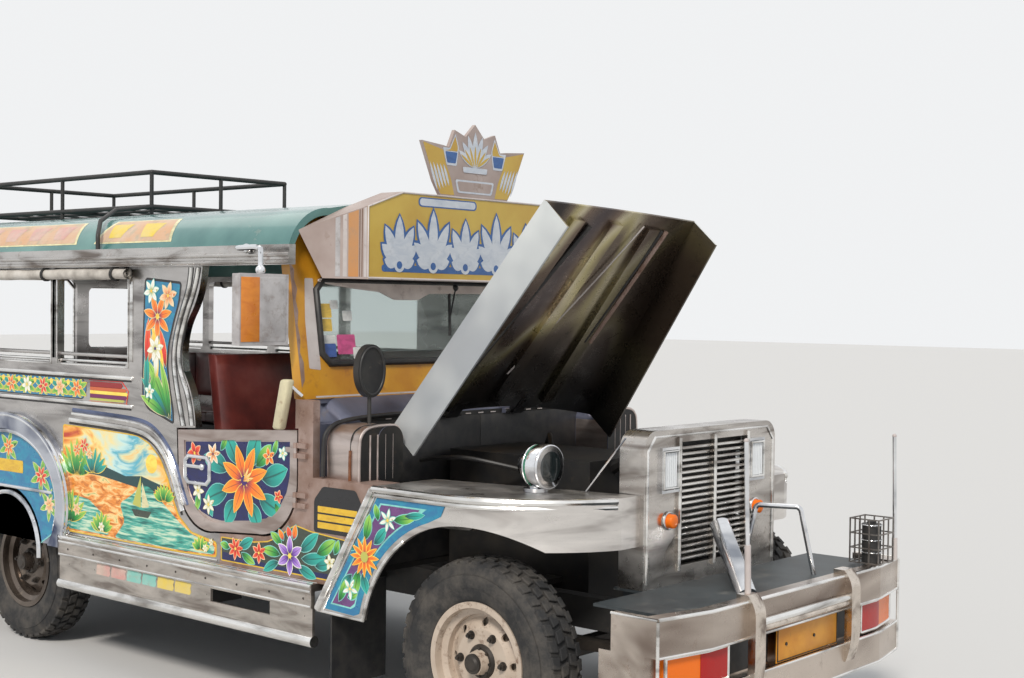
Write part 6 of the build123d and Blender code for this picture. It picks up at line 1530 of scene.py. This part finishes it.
grille_dress = bmesh.new()
for side in (-1, 1):
    y = side * 0.298
    tube(grille_dress, at_x(2.3815, oblong(y - 0.046, y + 0.046, 1.0, 1.136)), 0.007, 0, False, True)
    slab(grille_dress, (2.3745, y - 0.044, 1.002), (2.3775, y + 0.044, 1.134), 0.0015, 1)
    for count in range(7):
        rib = y - 0.036 + count * 0.012
        bar(grille_dress, (2.3785, rib, 1.006), (2.3785, rib, 1.13), 0.0035, 8, 1)
    tube(grille_dress, at_x(2.372, arc((y, 0.88), 0.03, range(0, 360, 20))), 0.006, 0, True, True)
for count in range(1, 20):
    z = 0.705 + count * 0.023
    for near, far in ((-0.229, -0.006), (0.006, 0.229)):
        slab(grille_dress, (2.35, near, z - 0.0035), (2.3695, far, z + 0.0015), 0.001, 0)
for y in (-0.235, 0.0, 0.235):
    tube(grille_dress, [(2.379, y, 0.69), (2.379, y, 1.182)], 0.007, 0, False)
border = [(-0.43, 0.66), (-0.43, 1.14), (-0.385, 1.192), (0.385, 1.192), (0.43, 1.14), (0.43, 0.66)]
tube(grille_dress, at_x(2.3705, border), 0.006, 0, False)
finished("grille_dress", grille_dress, [bright_trim, ribbed_glass])
lens_skin = bmesh.new()
for side in (-1, 1):
    ball(lens_skin, (2.398, side * 0.298, 0.88), 0.0255, 20, 12, (0.25, 1, 1))
finished("marker_domes", lens_skin, [amber], 60)

# Bumper: brushed chrome box beam, sunk middle with lamps and plate, valance below, dented all over.
# The number plate is a blank orange-yellow sheet with a dark rim on two bolts.
bumper_metal = polished(
    "bumper_metal", (0.56, 0.49, 0.43), (0.24, 0.19, 0.16), (0.16, 0.09, 0.05), 0.28, 2.4, 0.55, (1, 0.35, 1.4), 0.008
)
coat_nodes(bumper_metal, "front_bumper")
override_metal = polished(
    "override_metal", (0.62, 0.55, 0.48), (0.16, 0.12, 0.1), (0.3, 0.2, 0.1), 0.2, 9.0, 0.6, (1, 1, 1), 0.012
)
coat_nodes(override_metal, "overriders")
coat_nodes(chrome, "nose_guard")
dull_wire = worn("dull_wire", (0.3, 0.28, 0.26), (0.16, 0.14, 0.13), (0.24, 0.1, 0.04), 0.4, 0.8, size=20.0, dirt=0.5)
coat_nodes(dull_wire, "basket")
coat_nodes(black_steel, "horn")
deck_paint = worn("deck_paint", (0.045, 0.055, 0.06), (0.02, 0.025, 0.028), (0.2, 0.19, 0.17), 0.5, size=5.0, dirt=0.6)
coat_nodes(deck_paint, "front_deck")
bumper_dress = bmesh.new()
BUMPER_FACE = [(2.722, 0.848), (2.7705, 0.602), (2.7705, -0.602), (2.722, -0.848)]
for z, radius in ((0.6475, 0.0065), (0.5225, 0.0055), (0.3875, 0.0055), (0.2725, 0.006)):
    tube(bumper_dress, [(x - 0.002, y, z) for x, y in BUMPER_FACE], radius, 0, False)
for side in (-1, 1):
    tube(bumper_dress, [(2.53, side * 0.8505, 0.6475), (2.72, side * 0.8505, 0.6475)], 0.005, 0, False)
    tube(bumper_dress, [(2.7215, side * 0.8505, 0.278), (2.7215, side * 0.8505, 0.642)], 0.006, 0, False)
bar(bumper_dress, (2.782, -0.312, 0.569), (2.782, 0.312, 0.569), 0.0145, 20)
finished("bumper_edges", bumper_dress, [bright_trim])
sunk = bmesh.new()
for near, far in ((-0.476, -0.17), (0.285, 0.476)):
    slab(sunk, (2.7205, near, 0.396), (2.723, far, 0.515), 0.0008)
finished("sunk_panels", sunk, [black_edge], 0)
plate_ochre = worn("plate_ochre", (0.68, 0.3, 0.025), (0.55, 0.21, 0.015), (0.2, 0.12, 0.05), 0.4, size=9.0, dirt=0.4)
plate = bmesh.new()
slab(plate, (2.7525, -0.165, 0.393), (2.7565, 0.28, 0.533), 0.0015, 0)
tube(plate, at_x(2.7572, oblong(-0.159, 0.274, 0.399, 0.527)), 0.0028, 1, False, True)
for y in (-0.1, 0.1):
    bar(plate, (2.7185, y, 0.455), (2.7605, y, 0.455), 0.0065, 6, 2)
finished("number_plate", plate, [plate_ochre, black_edge, greasy_iron])
coat_nodes(amber, "signal_lamps")
lamp_dress = bmesh.new()
for side in (-1, 1):
    face_line = [(2.7525, side * 0.476), (2.7525, side * 0.6), (2.7145, side * 0.792)]
    for z in (0.401, 0.5125):
        tube(lamp_dress, [(x - 0.002, y, z) for x, y in face_line], 0.0068, 0, False)
    for x, y in (face_line[0], face_line[2]):
        tube(lamp_dress, [(x - 0.002, y, 0.401), (x - 0.002, y, 0.5125)], 0.0068, 0, False)
    lens_line = ((2.7532, 0.482), (2.7532, 0.6), (2.7462, 0.638))
    foot, top = ([lamp_dress.verts.new((x, side * y, z)) for x, y in lens_line] for z in (0.407, 0.507))
    for count in range(2):
        corners = (foot[count], foot[count + 1], top[count + 1], top[count])
        show(lamp_dress.faces.new(corners), FORWARD, 1)
    tube(lamp_dress, at_x(-2.63, oblong(side * 0.62, side * 0.82, 0.817, 0.943)), 0.006, 0, False, True)
    slab(lamp_dress, (-2.6305, side * 0.625, 0.824), (-2.6275, side * 0.7, 0.936), 0.001, 1)
finished("lamp_bezels", lamp_dress, [bright_trim, red_lens])
whips = bmesh.new()
bar(whips, (2.745, -0.345, 0.6705), (2.745, -0.3505, 0.84), 0.0115, 14)
bar(whips, (2.74, 0.78, 0.6505), (2.74, 0.7765, 0.74), 0.0115, 14)
for place in ((2.745, -0.37, 1.205), (2.74, 0.76, 1.155)):
    ball(whips, place, 0.009, 10, 8)
finished("whip_sleeves", whips, [cream_steel])
horn_dress = bmesh.new()
for z, reach in ((0.69, 0.039), (0.74, 0.039), (0.8, 0.0395)):
    ring = arc((2.695, 0.665), reach, range(0, 360, 20))
    tube(horn_dress, [(x, y, z) for x, y in ring], 0.003, 0, True, True)
bar(horn_dress, (2.695, 0.665, 0.805), (2.695, 0.665, 0.816), 0.018, 16, 1)
finished("horn_rings", horn_dress, [chrome, black_edge])

# Roof sign: a sheet metal box with a yellow front, a white edge and a row of white palm fans.
# Its raked wings are chalky grey-pink with faded orange and brown bands towards the front.
sign_yellow = worn(
    "sign_yellow", (0.6, 0.42, 0.07), (0.5, 0.3, 0.04), (0.35, 0.25, 0.12), 0.36, coat=0.3, size=3.0, dirt=0.35
)
wing_grey = worn("wing_grey", (0.45, 0.37, 0.34), (0.33, 0.25, 0.22), (0.2, 0.12, 0.08), 0.5, size=4.0, dirt=0.55)
sign_blue = paint("sign_blue", (0.035, 0.12, 0.34), (0.02, 0.08, 0.25))
sign_white = paint("sign_white", (0.6, 0.63, 0.68), (0.45, 0.5, 0.58))
band_orange = worn("band_orange", (0.6, 0.26, 0.08), (0.5, 0.27, 0.13), (0.35, 0.25, 0.18), 0.5, size=5.0, dirt=0.6)
band_brown = worn("band_brown", (0.24, 0.14, 0.1), (0.17, 0.1, 0.07), (0.3, 0.22, 0.16), 0.5, size=5.0, dirt=0.6)
lined(nodes["sign_board"].data, sign_yellow, wing_grey, lambda face: face.normal.x > 0.9)
for made in (sign_blue, sign_white, sign_yellow, wing_grey, cream_steel):
    keep(made)


def front_face(name, art):
    """Turns a picture drawn as for the right side until it faces forward, and finishes it."""
    bmesh.ops.rotate(art, cent=(0, 0, 0), matrix=Matrix.Rotation(pi / 2, 3, "Z"), verts=art.verts)
    finished(name, art, ENAMELS.values(), 0)


# Ornament across the front: a row of white palm fans, each edged in blue
sign_art = canvas()
out = 1.1305
patch(sign_art, oblong(-0.57, 0.62, 1.797, 1.826), out + 0.0004, "sign_blue", 0.013)
for count in range(6):
    middle = -0.47 + count * 0.2
    tall = 1.0 if count % 2 else 0.86
    for turn, reach in ((14, 0.115), (166, 0.115), (40, 0.165), (140, 0.165), (63, 0.22), (117, 0.22), (90, 0.25)):
        stroke(sign_art, (middle, 1.825), turn, reach * tall, 0.078, out + 0.0008, "sign_blue")
        inner = (middle + 0.012 * cos(radians(turn)), 1.825 + 0.012 * sin(radians(turn)))
        stroke(sign_art, inner, turn, (reach - 0.026) * tall, 0.053, out + 0.0014, "sign_white")
    disc(sign_art, (middle, 1.826), 0.03, out + 0.002, "sign_white")
    disc(sign_art, (middle, 1.826), 0.016, out + 0.0024, "sign_blue")
patch(sign_art, oblong(-0.36, 0.0, 2.074, 2.114), out + 0.0006, "sign_blue", 0.018)
patch(sign_art, oblong(-0.352, -0.008, 2.079, 2.109), out + 0.001, "sign_white", 0.014)
for side in (-1, 1):
    rim = [(side * 0.646, 1.772), (side * 0.646, 2.058), (side * 0.45, 2.126), (0.0, 2.126)]
    tube(sign_art, on_side(rim, out), 0.004, "cream_steel", False)
tube(sign_art, on_side([(-0.648, 1.769), (0.648, 1.769)], out), 0.0055, "cream_steel", False)
front_face("sign_ornament", sign_art)
# Columns: share along the wing where the band starts and ends, finish
WING_BANDS = [(0.01, 0.05, 0), (0.07, 0.085, 1), (0.105, 0.12, 1), (0.13, 0.28, 2), (0.3, 0.36, 0), (0.4, 0.47, 3)]
wings = bmesh.new()
for side in (-1, 1):
    # The wing runs from the front edge (x 1.13, y .65) back to (1.0, .9); its foot is cut back
    for start, end, slot in WING_BANDS:
        corners = []
        for share, top in ((start, True), (end, True), (end, False), (start, False)):
            x, y = 1.13 - 0.13 * share, 0.65 + 0.25 * share
            high = 2.06 - 0.105 * share
            low = 1.769 + max(0.0, (share - 0.65) / 0.35) * 0.18
            corners.append(wings.verts.new((x + 0.0007, side * (y + 0.0004), high - 0.004 if top else low + 0.004)))
        show(wings.faces.new(corners), FORWARD, slot)
finished("wing_bands", wings, [cream_steel, band_brown, band_orange, chalk], 0)

# Crest: a cut-out of painted sheet, grey-white in the middle between yellow wings, with two blue shields.
# Its motif is a plain fan of plumes over a blank plate.
coat_nodes(wing_grey, "crest")
# Wing, then the fields of the shield one over the other: corners, lift, colour, round corner
CREST_WING = [(0.325, 2.35), (0.256, 2.195), (0.216, 2.136), (0.13, 2.136), (0.15, 2.2), (0.185, 2.27), (0.2, 2.325)]
SHIELD_EDGE = [(0.204, 2.337), (0.18, 2.262), (0.118, 2.262), (0.104, 2.34), (0.126, 2.4), (0.162, 2.335)]
SHIELD = [
    (SHIELD_EDGE, 0.0006, "sign_white", 0.006),
    ([(0.19, 2.32), (0.176, 2.272), (0.124, 2.272), (0.114, 2.32)], 0.001, "sign_blue", 0.005),
    ([(0.19, 2.324), (0.113, 2.324), (0.112, 2.345), (0.128, 2.388), (0.158, 2.33)], 0.0012, "sign_yellow", 0.004),
]
crest_art = canvas()
out = 1.1186
for side in (-1, 1):
    patch(crest_art, [(side * x, z) for x, z in CREST_WING], out, "sign_yellow", 0.006)
    for count in range(5):
        root = (side * (0.235 - 0.018 * count), 2.15 + 0.006 * count)
        stroke(crest_art, root, 90 - side * 22, 0.13 - 0.008 * count, 0.014, out + 0.0005, "sign_white")
    fields(crest_art, out, [([(side * x, z) for x, z in corners], *rest) for corners, *rest in SHIELD])
for count in range(7):
    turn = 90 + (count - 3) * 19
    stroke(crest_art, (0.0, 2.262), turn, 0.125 + 0.03 * (1 - abs(count - 3) / 3), 0.034, out + 0.0008, "sign_white")
    stroke(crest_art, (0.02 * cos(radians(turn)), 2.266), turn, 0.09, 0.012, out + 0.0014, "sign_yellow")
fields(crest_art, out, [
    ([(-0.075, 2.238), (0.075, 2.238), (0.08, 2.262), (-0.08, 2.262)], 0.0018, "sign_white", 0.006),
    ([(-0.11, 2.148), (0.11, 2.148), (0.125, 2.205), (-0.125, 2.205)], 0.0006, "sign_white", 0.01),
    ([(-0.1, 2.156), (0.1, 2.156), (0.113, 2.197), (-0.113, 2.197)], 0.001, "wing_grey", 0.008),
])
front_face("crest_paint", crest_art)

# Rear end: stainless portal with a bright frame round the doorway, plain tail lamps and a ribbed step.
# The handrails by the doorway are polished tube.
step_metal = polished("step_metal", (0.55, 0.53, 0.51), (0.35, 0.32, 0.3), (0.2, 0.11, 0.07), 0.3, 4.0, 0.6)
coat_nodes(step_metal, "rear_step")
REAR_X = -2.602
rear_dress = bmesh.new()
doorway = [(-0.394, 0.62), (-0.394, 1.74), (-0.34, 1.795), (0.34, 1.795), (0.394, 1.74), (0.394, 0.62)]
tube(rear_dress, at_x(REAR_X, doorway), 0.011, 0, False)
for side in (-1, 1):
    handrail = [
        (-2.6, side * 0.43, 0.95), (-2.636, side * 0.43, 0.98), (-2.636, side * 0.43, 1.55), (-2.6, side * 0.43, 1.58),
    ]
    tube(rear_dress, handrail, 0.0115, 0, False)
    middle = side * 0.6425
    tube(rear_dress, at_x(REAR_X, oblong(middle - 0.165, middle + 0.165, 1.372, 1.748)), 0.007, 0, False, True)
    for z in (1.197, 1.322):
        tube(rear_dress, [(REAR_X, side * 0.42, z), (REAR_X, side * 0.925, z)], 0.009, 0, False)
for count in range(6):
    y = -0.42 + count * 0.168
    tube(rear_dress, [(-2.61, y, 0.4565), (-2.78, y, 0.4565)], 0.006, 0, False)
finished("rear_trims", rear_dress, [bright_trim])
coat_nodes(black_edge, "mud_flaps")
